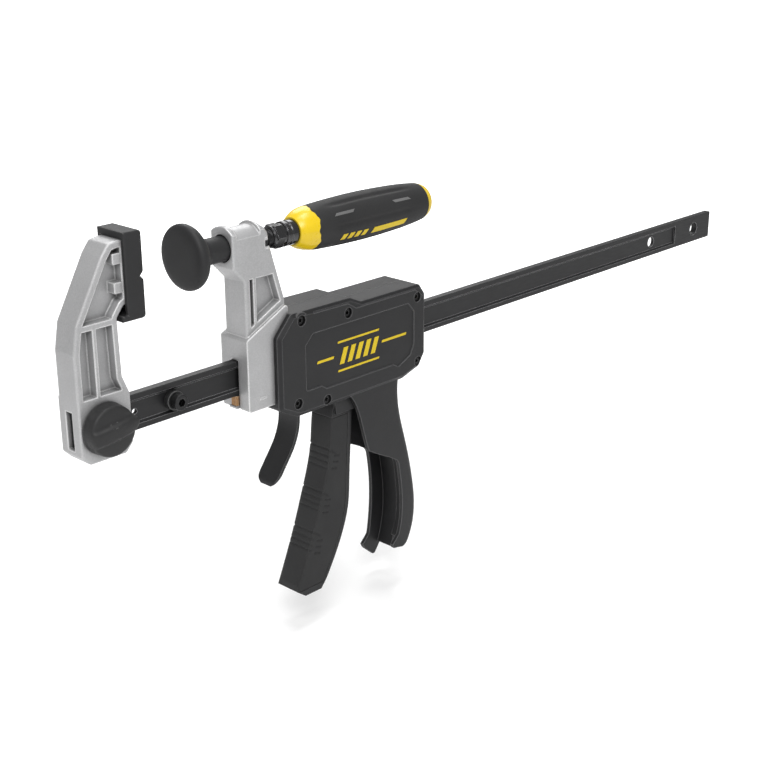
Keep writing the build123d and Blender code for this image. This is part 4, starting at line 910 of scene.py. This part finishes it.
@dataclass
class SlidingJaw(SubAssembly):
    """The sliding jaw casting with its shoe and keeper.

    Attributes:
        waist: Where the narrow part between the boss's flanges starts and ends.
        waist_radius: Radius of the boss there.
        waist_turns: Where the narrow part ends on both sides, in degrees from +Y.
        waist_steps: Steps round the narrow part.
        mark: Outline of the small raised mark on the block's side, as X and Z.
        mark_reach: Y of the mark's foot and of its face.
    """

    waist: Pair = (31.2, 47.6)
    waist_radius: float = 10.3
    waist_turns: Pair = (-14.0, 194.0)
    waist_steps: int = 60
    mark: tuple[Pair, ...] = ((41.0, -86.6), (47.0, -86.6), (47.0, -85.2), (41.0, -85.2))
    mark_reach: Pair = (-10.0, -11.25)

    DRESS: ClassVar[dict[str, Finish]] = {
        "moving_jaw": CAST_SILVER,
        "bar_shoe": BRASS,
        "shoe_keeper": GROUND_STEEL,
        "jaw_dowels": GROUND_STEEL,
        "screw_nut": BLACKENED_STEEL,
    }

    def add_pieces(self, palette: Palette) -> list[str]:
        """Cuts the waist of the boss and raises the mark in a copy of the casting.

        Args:
            palette: Materials by name.

        Returns:
            The new piece's name.
        """
        first, last = (math.radians(turn) for turn in self.waist_turns)
        turns = [first + (last - first) * step / self.waist_steps for step in range(self.waist_steps + 1)]
        ring = arc((0.0, 0.0), self.waist_radius, turns)
        outer = 2.0 * self.waist_radius
        ring += [(-outer, ring[-1][1]), (-outer, outer), (outer, outer), (outer, ring[0][1])]
        tools = [
            (Change.CUT, plate("waist_cut", [ring], *self.waist, along_x=True)),
            (Change.ADD, plate("mark", [self.mark], *self.mark_reach)),
        ]
        casting = reshaped("jaw_casting", "moving_jaw", tools)
        return [self.settle(casting, CAST_SILVER, Body.CARRIAGE, palette, ("moving_jaw",))]


@dataclass
class Housing(SubAssembly):
    """The two moulded halves, their screws and what they hold, with a plain printed panel on each side.

    Attributes:
        front: X of the block's front, from which the panel's places are measured.
        centre: Z of the bar's centre line.
        floor: Distance of the panel's floor from the middle.
        print_height: How far the print stands on the floor.
        print_root: How far the print reaches into the floor.
        bar_start: Start of the print's first leaning bar.
        bar_pitch: Distance from one bar to the next.
        bar_count: Number of bars.
        bar_width: Width of a bar.
        bar_span: Lowest and highest place of a bar.
        slant: How far a bar leans back over its height; the lines lean the same way.
        lines: Start, end, lowest place and height of each long line of the print.
        side: Distance of the sides from the middle.
        outside: Distance from the middle that is past every part of the housing.
        band: Outline of the sunken strip along the top edge.
        band_sink: How deep the strip lies.
        ear: Place of the round ear at the front top screw.
        ear_radius: Radius of the ear.
        ear_sink: How far the ear's face lies under the side.
        ear_root: How far the far half's ear reaches into the wall.
        ear_hole: Radius and depth of the hole in the near half's ear.
        hole_margin: How far the cut of that hole reaches past its bottom and its mouth.
        toe: Outline of the pointed toe of the far wall of the rear grip.
        toe_reach: Distance of the toe's faces from the middle.
    """

    front: float = 33.6
    centre: float = -74.0
    floor: float = 14.9
    print_height: float = 0.12
    print_root: float = 0.02
    bar_start: float = 66.0
    bar_pitch: float = 6.4
    bar_count: int = 5
    bar_width: float = 3.6
    bar_span: Pair = (-6.0, 3.6)
    slant: float = 3.6
    lines: tuple[tuple[float, float, float, float], ...] = (
        (48.0, 61.0, -1.2, 1.5),
        (101.0, 122.0, -1.2, 1.5),
        (64.5, 98.5, -10.4, 1.2),
        (64.5, 98.5, 7.0, 1.2),
    )
    side: float = 15.5
    outside: float = 20.0
    band: tuple[Pair, ...] = (
        (46.0, 34.0), (46.0, 29.6), (73.0, 29.2), (79.8, 25.2), (130.0, 25.2), (138.0, 19.5), (142.0, 34.0),
    )
    band_sink: float = 0.5
    ear: Pair = (36.5, 27.4)
    ear_radius: float = 4.9
    ear_sink: float = 0.25
    ear_root: float = 3.0
    ear_hole: Pair = (3.1, 1.6)
    hole_margin: Pair = (0.4, 1.0)
    toe: tuple[Pair, ...] = (
        (126.6, -139.0), (127.4, -146.0), (126.8, -149.6), (121.6, -156.6), (119.8, -156.8), (112.6, -150.4),
        (111.0, -147.6), (116.2, -141.4), (118.6, -136.0),
    )
    toe_reach: Pair = (12.0, 14.5)

    DRESS: ClassVar[dict[str, Finish]] = {
        "housing_near": HOUSING_BLACK,
        "housing_far": HOUSING_BLACK,
        "housing_screws": BLACKENED_STEEL,
        "trigger_pin": GROUND_STEEL,
        "brake_pin": GROUND_STEEL,
        "drive_plate_1": GROUND_STEEL,
        "drive_plate_2": GROUND_STEEL,
        "drive_spring": GROUND_STEEL,
        "brake_spring": GROUND_STEEL,
    }

    def placed(self, outline: Sequence[Pair]) -> list[Pair]:
        """An outline measured from the block's front and the bar's centre line, as X and Z."""
        return [(self.front + u, self.centre + w) for u, w in outline]

    def print_outlines(self) -> list[list[Pair]]:
        """The outlines of the print's bars and lines, as X and Z.

        Returns:
            One outline for each.
        """
        low, high = self.bar_span
        starts = [self.bar_start + self.bar_pitch * index for index in range(self.bar_count)]
        bars = [(start, start + self.bar_width, low, high - low) for start in starts]
        shapes: list[list[Pair]] = []
        for start, end, foot, height in (*bars, *self.lines):
            lean = self.slant * height / (high - low)
            top = foot + height
            shapes.append(self.placed([(start, foot), (end, foot), (end + lean, top), (start + lean, top)]))
        return shapes

    def skin(self, side: Side, node: str) -> bpy.types.Object:
        """Makes one half of the housing with its strip, its ear and, on the far side, its toe.

        Args:
            side: Which half it is.
            node: The node that it is made from.

        Returns:
            The new object.
        """
        sign = side.value
        bed, outside = sign * (self.side - self.band_sink), sign * self.outside
        tools = [(Change.CUT, plate("band_cut", [self.placed(self.band)], bed, outside))]
        face = sign * (self.side - self.ear_sink)
        [centre] = self.placed([self.ear])
        rim = disc(centre, self.ear_radius)
        if side is Side.FAR:
            tools.append((Change.ADD, plate("toe", [self.placed(self.toe)], *self.toe_reach)))
            tools.append((Change.ADD, plate("ear", [rim], face - self.ear_root, face)))
        else:
            radius, depth = self.ear_hole
            bottom, mouth = self.hole_margin
            tools.append((Change.ADD, plate("ear", [rim], face + depth, face)))
            hole = plate("ear_hole", [disc(centre, radius)], face + depth + bottom, face - mouth)
            tools.append((Change.CUT, hole))
        return reshaped(f"{node}_skin", node, tools)

    def add_pieces(self, palette: Palette) -> list[str]:
        """Adds the strip, the ears and the toe in copies of the halves, and the print on both sides.

        Args:
            palette: Materials by name.

        Returns:
            The new pieces' names.
        """
        made = []
        for side, node in ((Side.NEAR, "housing_near"), (Side.FAR, "housing_far")):
            made.append(self.settle(self.skin(side, node), HOUSING_BLACK, Body.CARRIAGE, palette, (node,)))
        inner, outer = self.floor - self.print_root, self.floor + self.print_height
        for side, name in ((Side.NEAR, "panel_print_near"), (Side.FAR, "panel_print_far")):
            piece = plate(name, self.print_outlines(), side.value * inner, side.value * outer)
            made.append(self.settle(piece, PRINT_YELLOW, Body.CARRIAGE, palette))
        return made


@dataclass
class Levers(SubAssembly):
    """The trigger with its ribbed soft grip, and the release lever.

    Attributes:
        head: X and Z of the top of the soft grip's front line.
        run: Direction of that line, downwards.
        voxel: Fineness of the soft grip's mesh.
        front_groups: Where the groups of front grooves start, down the line.
        front_places: Places of the front grooves in a group; the first is the longest.
        front_depth: Depth of a front groove.
        front_reach: How far back from the front line the front grooves go.
        first_extra: How much further back the first groove of a group goes.
        front_fade: Length over which a front groove runs out.
        front_bow: How far the front grooves bow down, per square of the distance behind the line.
        side_groups: Where the groups of short side grooves start, down the line.
        side_places: Places of the side grooves in a group.
        side_depth: Depth of a side groove.
        side_span: Where the side grooves start and end behind the front line.
        side_fade: Length over which a side groove runs out at both ends.
        groove_width: Half width of a groove.
    """

    head: Pair = (94.6, -117.0)
    run: Pair = (-0.297, -0.955)
    voxel: float = 0.42
    front_groups: tuple[float, ...] = (15.0, 41.0, 66.0)
    front_places: tuple[float, ...] = (0.0, 4.0, 7.5, 11.0)
    front_depth: float = 0.55
    front_reach: float = 7.5
    first_extra: float = 5.0
    front_fade: float = 1.5
    front_bow: float = 0.02
    side_groups: tuple[float, ...] = (18.5, 46.0, 71.5)
    side_places: tuple[float, ...] = (0.0, 4.0, 8.0)
    side_depth: float = 0.6
    side_span: Pair = (9.5, 14.8)
    side_fade: float = 0.6
    groove_width: float = 0.9

    DRESS: ClassVar[dict[str, Finish]] = {
        "trigger": TRIGGER_BLACK,
        "trigger_grip": SOFT_BLACK,
        "push_pin": GROUND_STEEL,
        "release_lever": LEVER_BLACK,
        "brake_plate": GROUND_STEEL,
        "lever_rivets": GROUND_STEEL,
    }

    def groove_at(self, down: float, behind: float) -> float:
        """Depth of the grooves at a place on the soft grip.

        Args:
            down: Distance down the front line.
            behind: Distance behind the front line.

        Returns:
            The depth, in millimetres.
        """
        depth = 0.0
        bow = self.front_bow * behind * behind
        for rank, place in enumerate(self.front_places):
            long = self.front_reach + (self.first_extra if rank == 0 else 0.0)
            fade = held((long - behind) / self.front_fade)
            for group in self.front_groups:
                off = (down - (group + place + bow)) / self.groove_width
                depth = max(depth, fade * self.front_depth * bell(off))
        start, end = self.side_span
        fade = held(min(behind - start, end - behind) / self.side_fade)
        for place in self.side_places:
            for group in self.side_groups:
                off = (down - (group + place)) / self.groove_width
                depth = max(depth, fade * self.side_depth * bell(off))
        return depth

    def add_pieces(self, palette: Palette) -> list[str]:
        """Cuts the grooves into a fine copy of the soft grip.

        Args:
            palette: Materials by name.

        Returns:
            The new piece's name.
        """
        blank = copied("trigger_skin_blank", "trigger_grip")
        remesh = blank.modifiers.new("fine", "REMESH")
        remesh.mode = "VOXEL"
        remesh.voxel_size = self.voxel * MM
        fine = evaluated(blank)
        bpy.data.objects.remove(blank)
        moves = []
        for vertex in fine.vertices:
            across, along = vertex.co.x / MM - self.head[0], vertex.co.z / MM - self.head[1]
            down = across * self.run[0] + along * self.run[1]
            behind = -(across * self.run[1] - along * self.run[0])
            moves.append(vertex.normal * self.groove_at(down, behind) * MM)
        for vertex, move in zip(fine.vertices, moves):
            vertex.co -= move
        fine.shade_smooth()
        skin = show("trigger_skin", fine)
        return [self.settle(skin, SOFT_BLACK, Body.TRIGGER, palette, ("trigger_grip",))]


@dataclass
class Screw(SubAssembly):
    """The threaded screw with its domed pad and its two-part handle.

    Attributes:
        shaft: Where the shaft starts and ends.
        shaft_radius: Radius over the thread.
        shaft_bevels: Bevels at the shaft's front and rear end.
        shaft_steps: Steps round the shaft.
        clip_groove: Start, end and radius of the groove for the clip.
        thread: Where the thread starts and ends, along the axis.
        thread_depth: Depth of the thread.
        thread_rows: Rows of points to a turn of the thread.
        pitch: Distance that the thread climbs in a turn.
        root: Half width of the thread's root, as a share of the pitch.
        flank: Width of a flank of the thread, as a share of the pitch.
        pad_profile: Distance and radius of the pad, from its face to its hub's bore.
        collar: Distance and radius of the collar between the hexagon and the handle.
        handle: Distance and radius of the handle's outside.
        handle_spacing: Spacing of the rows of points along the handle.
        handle_steps: Steps round the handle.
        shaft_seat: How far the shaft's end reaches into the handle past the collar.
        grip: Where the soft grip starts and ends.
        grip_depth: Thickness of the soft grip.
        grip_rise: How far the grip stands over the core beside the seam.
        seam_depth: Depth of the seam between core and grip.
        seam_sides: Width of the seam on the core and on the grip.
        seam_space: Space between the seam and the grip's next row of points.
        lobes: Number of panels round the grip.
        valley: Depth of the valleys between the panels.
        valley_width: Half width of a valley, as a share of a panel and its valley.
        valley_ends: How far from the grip's front and rear end the valleys start.
        valley_fade: Length over which a valley reaches its full depth.
        wave: How far the nose's edge waves along the axis.
        wave_reach: How far from that edge the wave dies out.
        wave_power: How pointed the wave is.
        print_turn: Turn of the middle of the printed panel about the axis, in degrees.
        print_lean: How far a printed band leans along the axis.
        print_half: Half width of a band, in degrees.
        bands: Start, pitch and width of the short bands along the axis.
        band_count: Number of short bands.
        long_band: Where the long band starts and ends.
        inlay_turn: Turn of the panel with the inlays from the printed one, in degrees.
        inlays: Start, end, lowest and highest turn on that panel, and lean of each inlay.
        strip_mesh: Steps of a strip along and round the axis.
        strip_faces: Heights of a strip's two faces over the grip.
    """

    shaft: Pair = (7.4, 115.0)
    shaft_radius: float = 5.0
    shaft_bevels: Pair = (1.2, 1.0)
    shaft_steps: int = 72
    clip_groove: Triple = (26.0, 26.8, 4.2)
    thread: Pair = (31.0, 62.0)
    thread_depth: float = 0.8
    thread_rows: int = 14
    pitch: float = 3.0
    root: float = 0.12
    flank: float = 0.2
    pad_profile: tuple[Pair, ...] = (
        (0.0, 0.0), (0.0, 8.0), (0.05, 12.6), (0.35, 15.2), (1.1, 16.9), (2.2, 17.6), (3.6, 17.8),
        (5.0, 17.6), (6.4, 16.8), (8.0, 15.1), (9.8, 12.7), (11.6, 10.4), (13.4, 8.7), (15.4, 7.6),
        (18.0, 7.1), (29.4, 6.95), (30.0, 6.5), (30.0, 5.15), (26.95, 5.15), (26.95, 6.15), (25.85, 6.15),
        (25.85, 5.15), (7.0, 5.15), (7.0, 0.0),
    )
    collar: tuple[Pair, ...] = (
        (70.0, 6.6), (70.5, 7.1), (72.4, 7.15), (72.9, 6.7), (73.6, 6.7), (74.1, 7.15), (79.0, 7.15),
        (79.0, 5.1), (70.0, 5.1),
    )
    handle: tuple[Pair, ...] = (
        (78.4, 8.2), (80.8, 9.9), (84.9, 11.6), (92.9, 12.9), (128.5, 14.0), (161.2, 13.1), (178.4, 11.6),
        (181.9, 10.8), (185.8, 8.7), (187.4, 4.2),
    )
    handle_spacing: float = 1.4
    handle_steps: int = 144
    shaft_seat: float = 1.0
    grip: Pair = (89.5, 180.4)
    grip_depth: float = 2.2
    grip_rise: float = 0.05
    seam_depth: float = 0.35
    seam_sides: Pair = (0.15, 0.25)
    seam_space: float = 0.4
    lobes: int = 6
    valley: float = 0.85
    valley_width: float = 0.16
    valley_ends: Pair = (6.0, 8.0)
    valley_fade: float = 16.0
    wave: float = 1.1
    wave_reach: float = 9.0
    wave_power: int = 3
    print_turn: float = -152.0
    print_lean: float = -1.6
    print_half: float = 8.0
    bands: Triple = (107.0, 5.4, 3.4)
    band_count: int = 4
    long_band: Pair = (131.5, 160.0)
    inlay_turn: float = -60.0
    inlays: tuple[tuple[float, ...], ...] = (
        (103.0, 117.0, -4.0, 3.0, -2.0),
        (148.0, 162.0, -3.0, 4.0, 2.0),
    )
    strip_mesh: tuple[int, int] = (14, 8)
    strip_faces: Pair = (-0.1, 0.09)

    DRESS: ClassVar[dict[str, Finish]] = {
        "clamp_pad": PAD_BLACK,
        "pad_clip": GROUND_STEEL,
        "spindle": BLACKENED_STEEL,
        "drive_hex": POLISHED_BLACK,
        "handle_collar": POLISHED_BLACK,
        "handle_core": SIGNAL_YELLOW,
        "handle_grip": SOFT_BLACK,
    }

    def shaft_profile(self) -> list[Pair]:
        """Distance and radius of the shaft, with fine rows where it is threaded.

        Returns:
            The closed profile.
        """
        start, end = self.shaft
        front, rear = self.shaft_bevels
        groove_start, groove_end, groove_radius = self.clip_groove
        first, last = self.thread
        radius = self.shaft_radius
        steps = round((last - first) / self.pitch * self.thread_rows)
        return [
            (start, 0.0), (start, radius - front), (start + front, radius), (groove_start, radius),
            (groove_start, groove_radius), (groove_end, groove_radius), (groove_end, radius),
            *((first + (last - first) * tick / steps, radius) for tick in range(steps + 1)),
            (end - rear, radius), (end, radius - rear), (end, 0.0),
        ]

    def thread_reach(self, x: float, turn: float, radius: float) -> float:
        """Radius of the threaded shaft.

        Args:
            x: Distance along the axis.
            turn: Turn about the axis, in radians.
            radius: Radius of the plain shaft.

        Returns:
            The radius with the thread cut in.
        """
        start, end = self.thread
        if not start <= x <= end:
            return radius
        phase = (x / self.pitch - turn / FULL_TURN) % 1.0
        crest = held((abs(phase - 0.5) - self.root) / self.flank)
        fade = min(1.0, (x - start) / self.pitch, (end - x) / self.pitch)
        return radius - self.thread_depth * fade * (1.0 - crest)

    def handle_outside(self) -> list[Pair]:
        """The handle's outside as a fine smooth profile."""
        return smooth_rows(self.handle, self.handle_spacing)

    def handle_radius(self, x: float) -> float:
        """Radius of the handle's outside, before its valleys.

        Args:
            x: Distance along the axis.

        Returns:
            The radius, in millimetres.
        """
        rows = self.handle_outside()
        for (x0, r0), (x1, r1) in zip(rows, rows[1:]):
            if x0 <= x <= x1:
                return r0 + (r1 - r0) * (x - x0) / (x1 - x0)
        return rows[-1][1]

    def valley_at(self, x: float, turn: float) -> float:
        """Depth of the valleys between the grip's panels.

        Args:
            x: Distance along the axis.
            turn: Turn about the axis, in radians.

        Returns:
            The depth, in millimetres.
        """
        start, end = self.grip[0] + self.valley_ends[0], self.grip[1] - self.valley_ends[1]
        if not start < x < end:
            return 0.0
        middle = self.print_turn + 180.0 / self.lobes
        phase = ((math.degrees(turn) - middle) / (360.0 / self.lobes)) % 1.0
        across = min(phase, 1.0 - phase)
        fade = bell(max(0.0, 1.0 - min(x - start, end - x) / self.valley_fade))
        return self.valley * fade * bell(across / self.valley_width)

    def nose_edge(self, turn: float) -> float:
        """How far the nose's rear edge stands back at a turn about the axis, in radians."""
        middle = math.radians(self.print_turn)
        return self.wave * math.cos(self.lobes * (turn - middle)) ** self.wave_power

    def handle_pieces(self, palette: Palette) -> list[str]:
        """Makes the yellow core and the soft grip.

        Args:
            palette: Materials by name.

        Returns:
            The new pieces' names.
        """
        start, end = self.grip
        rows = self.handle_outside()
        socket_end, socket_radius = max(self.collar)  # the collar's rear rim
        front, rear = self.handle_radius(start), self.handle_radius(end)
        on_core, on_grip = self.seam_sides
        neck = [(x, r) for x, r in rows if x < start]
        middle = [(x, r) for x, r in rows if start + self.seam_space < x < end - self.seam_space]
        tail = [(x, r) for x, r in rows if x > end]
        core = [
            (socket_end + self.shaft_seat, 0.0), (socket_end + self.shaft_seat, self.shaft_radius),
            (socket_end, self.shaft_radius), (socket_end, socket_radius), (neck[0][0], socket_radius),
            *neck, (start - on_core, front), (start, front - self.seam_depth),
            (start, front - self.grip_depth), (end, rear - self.grip_depth), (end, rear - self.seam_depth),
            (end + on_core, rear), *tail, (self.handle[-1][0], 0.0),
        ]
        sleeve = [
            (start, front - self.grip_depth), (start, front - self.seam_depth),
            (start + on_grip, front + self.grip_rise), *middle, (end - on_grip, rear + self.grip_rise),
            (end, rear - self.seam_depth), (end, rear - self.grip_depth),
        ]

        def waved(x: float, turn: float) -> float:
            """Moves the rows near the nose's edge with its wave."""
            return x + self.nose_edge(turn) * bell((x - start) / self.wave_reach)

        def lobed(x: float, turn: float, radius: float) -> float:
            """Sinks the valleys into the grip's outside."""
            return radius - self.valley_at(x, turn)

        body = turned("handle_body", core, slide=waved, segments=self.handle_steps)
        cover = turned("handle_sleeve", sleeve, lobed, waved, self.handle_steps)
        return [
            self.settle(body, SIGNAL_YELLOW, Body.SCREW, palette, ("handle_core",)),
            self.settle(cover, SOFT_BLACK, Body.SCREW, palette, ("handle_grip",)),
        ]

    def strips(self, name: str, spans: Sequence[Sequence[float]]) -> bpy.types.Object:
        """Makes thin strips that follow the grip's outside.

        Args:
            name: The piece's name.
            spans: Start and end along the axis, lowest and highest turn in degrees, and lean of each strip.

        Returns:
            The new object.
        """
        points: list[Point] = []
        faces: list[Face] = []
        columns, rows = self.strip_mesh
        column = rows + 1
        layer = (columns + 1) * column
        for start, end, low, high, lean in spans:
            base = len(points)
            for lift in self.strip_faces:
                for along in range(columns + 1):
                    for around in range(rows + 1):
                        turn = math.radians(low + (high - low) * around / rows)
                        x = start + (end - start) * along / columns + lean * around / rows
                        radius = self.handle_radius(x) - self.valley_at(x, turn) + lift
                        points.append((x, radius * math.cos(turn), radius * math.sin(turn)))
            for along in range(columns):
                for around in range(rows):
                    corner = base + along * column + around
                    ring = (corner, corner + 1, corner + column + 1, corner + column)
                    faces += [ring, tuple(layer + number for number in ring)]
            rim = [base + step for step in range(rows)]
            rim += [base + step * column + rows for step in range(columns)]
            rim += [base + columns * column + step for step in range(rows, 0, -1)]
            rim += [base + step * column for step in range(columns, 0, -1)]
            for first, second in zip(rim, rim[1:] + rim[:1]):
                faces.append((first, second, layer + second, layer + first))
        return new_piece(name, points, faces)

    def add_pieces(self, palette: Palette) -> list[str]:
        """Adds the threaded shaft, the domed pad, the collar, the handle and its plain bands.

        Args:
            palette: Materials by name.

        Returns:
            The new pieces' names.
        """
        shaft = turned("threaded_shaft", self.shaft_profile(), self.thread_reach, segments=self.shaft_steps)
        pad = turned("domed_pad", self.pad_profile)
        made = [
            self.settle(shaft, BLACKENED_STEEL, Body.SCREW, palette, ("spindle",)),
            self.settle(pad, PAD_BLACK, Body.PAD, palette, ("clamp_pad",)),
        ]
        collar = turned("collar_sleeve", self.collar)
        made.append(self.settle(collar, POLISHED_BLACK, Body.SCREW, palette, ("handle_collar",)))
        made += self.handle_pieces(palette)
        first, pitch, width = self.bands
        starts = [first + pitch * index for index in range(self.band_count)]
        sides = (self.print_turn - self.print_half, self.print_turn + self.print_half, self.print_lean)
        spans = [*((start, start + width) for start in starts), self.long_band]
        bands = self.strips("handle_bands", [(*span, *sides) for span in spans])
        made.append(self.settle(bands, PRINT_YELLOW, Body.SCREW, palette))
        turn = self.print_turn + self.inlay_turn
        spans = [(start, end, turn + low, turn + high, lean) for start, end, low, high, lean in self.inlays]
        inlays = self.strips("handle_inlays", spans)
        made.append(self.settle(inlays, INLAY_GREY, Body.SCREW, palette))
        return made


# ---------------------------------------------------------------- studio


@dataclass(frozen=True)
class Lamp:
    """A square area lamp.

    Attributes:
        name: The lamp's name.
        place: Where it stands, in metres.
        size: Side of the square, in metres.
        power: Power in watts.
        target: The point it faces, in metres.
    """

    name: str
    place: Point
    size: float
    power: float
    target: Point = (0.1, 0.0, -0.05)

    def build(self) -> None:
        """Makes the lamp."""
        data = bpy.data.lights.new(self.name, "AREA")
        data.size, data.energy = self.size, self.power
        lamp = show(self.name, data)
        lamp.location = self.place
        lamp.rotation_euler = (Vector(self.target) - Vector(self.place)).to_track_quat("-Z", "Y").to_euler()


@dataclass
class Studio:
    """Floor, lights, backdrop and camera.

    Attributes:
        eye: The camera's place, in metres.
        azimuth: Direction the camera looks along, in degrees from +Y towards -X.
        elevation: Height above the horizon, in degrees.
        roll: Turn about the line of sight, in degrees.
        lens: Focal length, in millimetres.
        sensor: Sensor width, in millimetres.
        clip: Nearest and farthest distance that the camera sees, in metres.
        lamps: The lamps.
        soft_light: Strength of the light from all round.
        floor_half: Half width of the floor, in metres.
        floor_gap: Distance of the floor below the clamp, in metres.
        floor_colour: Colour of the floor, linear.
        floor_roughness: Roughness of the floor.
        glow_span: Distances over which the floor's own glow rises, in metres.
        glow_power: The glow near the clamp and far from it.
    """

    eye: Point = (-0.43637, -0.56105, 0.18767)
    azimuth: float = -46.37
    elevation: float = 20.09
    roll: float = -0.31
    lens: float = 65.79
    sensor: float = 36.0
    clip: Pair = (0.01, 20.0)
    lamps: tuple[Lamp, ...] = (
        Lamp("key", (-0.9, -1.1, 1.3), 1.0, 20.0),
        Lamp("top", (0.1, -0.1, 1.5), 0.7, 12.0),
        Lamp("rim", (0.9, 1.0, 1.0), 1.0, 10.0, (0.15, 0.0, -0.05)),
    )
    soft_light: float = 0.42
    floor_half: float = 6.0
    floor_gap: float = 0.02
    floor_colour: Colour = (0.93, 0.93, 0.93)
    floor_roughness: float = 0.9
    glow_span: Pair = (0.35, 1.1)
    glow_power: Pair = (0.12, 0.9)

    def camera(self) -> None:
        """Makes the camera and sets it as the scene's own."""
        data = bpy.data.cameras.new("camera")
        data.lens, data.sensor_width = self.lens, self.sensor
        data.clip_start, data.clip_end = self.clip
        azimuth, elevation = math.radians(self.azimuth), math.radians(self.elevation)
        flat = math.cos(elevation)
        back = Vector((math.sin(azimuth) * flat, -math.cos(azimuth) * flat, math.sin(elevation)))
        right = Vector((math.cos(azimuth), math.sin(azimuth), 0.0))
        up = back.cross(right)
        turn = math.radians(self.roll)
        rolled_right = right * math.cos(turn) + up * math.sin(turn)
        rolled_up = up * math.cos(turn) - right * math.sin(turn)
        camera = show("camera", data)
        camera.matrix_world = Matrix(
            (
                (rolled_right.x, rolled_up.x, back.x, self.eye[0]),
                (rolled_right.y, rolled_up.y, back.y, self.eye[1]),
                (rolled_right.z, rolled_up.z, back.z, self.eye[2]),
                (0.0, 0.0, 0.0, 1.0),
            )
        )
        bpy.context.scene.camera = camera

    def backdrop(self) -> None:
        """Makes the world white to the camera and a plain soft grey to the surfaces."""
        world = bpy.data.worlds.new("studio")
        bpy.context.scene.world = world
        world.use_nodes = True
        tree = world.node_tree
        tree.nodes.clear()
        output = tree.nodes.new("ShaderNodeOutputWorld")
        mix = tree.nodes.new("ShaderNodeMixShader")
        for rank, strength in ((1, self.soft_light), (2, 1.0)):
            light = tree.nodes.new("ShaderNodeBackground")
            light.inputs["Color"].default_value = WHITE
            light.inputs["Strength"].default_value = strength
            tree.links.new(light.outputs[0], mix.inputs[rank])
        path = tree.nodes.new("ShaderNodeLightPath")
        seen = tree.nodes.new("ShaderNodeMath")
        seen.operation = "MAXIMUM"
        tree.links.new(path.outputs["Is Camera Ray"], seen.inputs[0])
        tree.links.new(path.outputs["Is Transmission Ray"], seen.inputs[1])
        tree.links.new(seen.outputs[0], mix.inputs[0])
        tree.links.new(mix.outputs[0], output.inputs["Surface"])

    def floor(self, lowest: float) -> None:
        """Lays a pale floor under the clamp.

        Args:
            lowest: Height of the clamp's lowest point, in metres.
        """
        half, height = self.floor_half, lowest - self.floor_gap
        corners = [(-half, -half, height), (half, -half, height), (half, half, height), (-half, half, height)]
        mesh = bpy.data.meshes.new("floor")
        mesh.from_pydata(corners, [], [(0, 1, 2, 3)])
        floor = show("floor", mesh)
        board = NodeBoard("paper_floor")
        board.shader.inputs["Base Color"].default_value = (*self.floor_colour, 1.0)
        board.shader.inputs["Roughness"].default_value = self.floor_roughness
        board.shader.inputs["Emission Color"].default_value = WHITE
        reach = board.tree.nodes.new("ShaderNodeVectorMath")
        reach.operation = "LENGTH"
        board.join(board.place, reach.inputs[0])
        rise = board.spread(reach.outputs["Value"], self.glow_span, self.glow_power)
        path = board.tree.nodes.new("ShaderNodeLightPath")
        glow = board.tree.nodes.new("ShaderNodeMath")
        glow.operation = "MULTIPLY"
        board.join(path.outputs["Is Camera Ray"], glow.inputs[0])
        board.join(rise, glow.inputs[1])
        board.join(glow.outputs[0], board.shader.inputs["Emission Strength"])
        mesh.materials.append(board.material)
        floor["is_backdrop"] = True

    def build(self, lowest: float) -> None:
        """Builds the whole studio.

        Args:
            lowest: Height of the clamp's lowest point, in metres.
        """
        self.camera()
        for lamp in self.lamps:
            lamp.build()
        self.backdrop()
        self.floor(lowest)
        bpy.context.scene.view_settings.view_transform = "Standard"


def main() -> None:
    """Builds the clamp's looks and the studio."""
    logging.basicConfig(level=logging.INFO, format="%(name)s: %(message)s")
    cad_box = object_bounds()
    palette = {finish.name: finish.build() for finish in FINISHES}
    for assembly in (Bar(), FixedJaw(), SlidingJaw(), Housing(), Levers(), Screw()):
        made = assembly.build(palette)
        LOG.info("%s: %s", type(assembly).__name__, ", ".join(made))
    Studio().build(cad_box[0].z)


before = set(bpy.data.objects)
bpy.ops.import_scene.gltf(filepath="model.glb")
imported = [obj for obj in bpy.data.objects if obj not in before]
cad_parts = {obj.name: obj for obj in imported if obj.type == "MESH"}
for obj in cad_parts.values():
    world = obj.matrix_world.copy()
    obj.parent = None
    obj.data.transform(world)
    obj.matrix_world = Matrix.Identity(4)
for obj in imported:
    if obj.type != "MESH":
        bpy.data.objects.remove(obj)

if __name__ == "__main__":
    main()
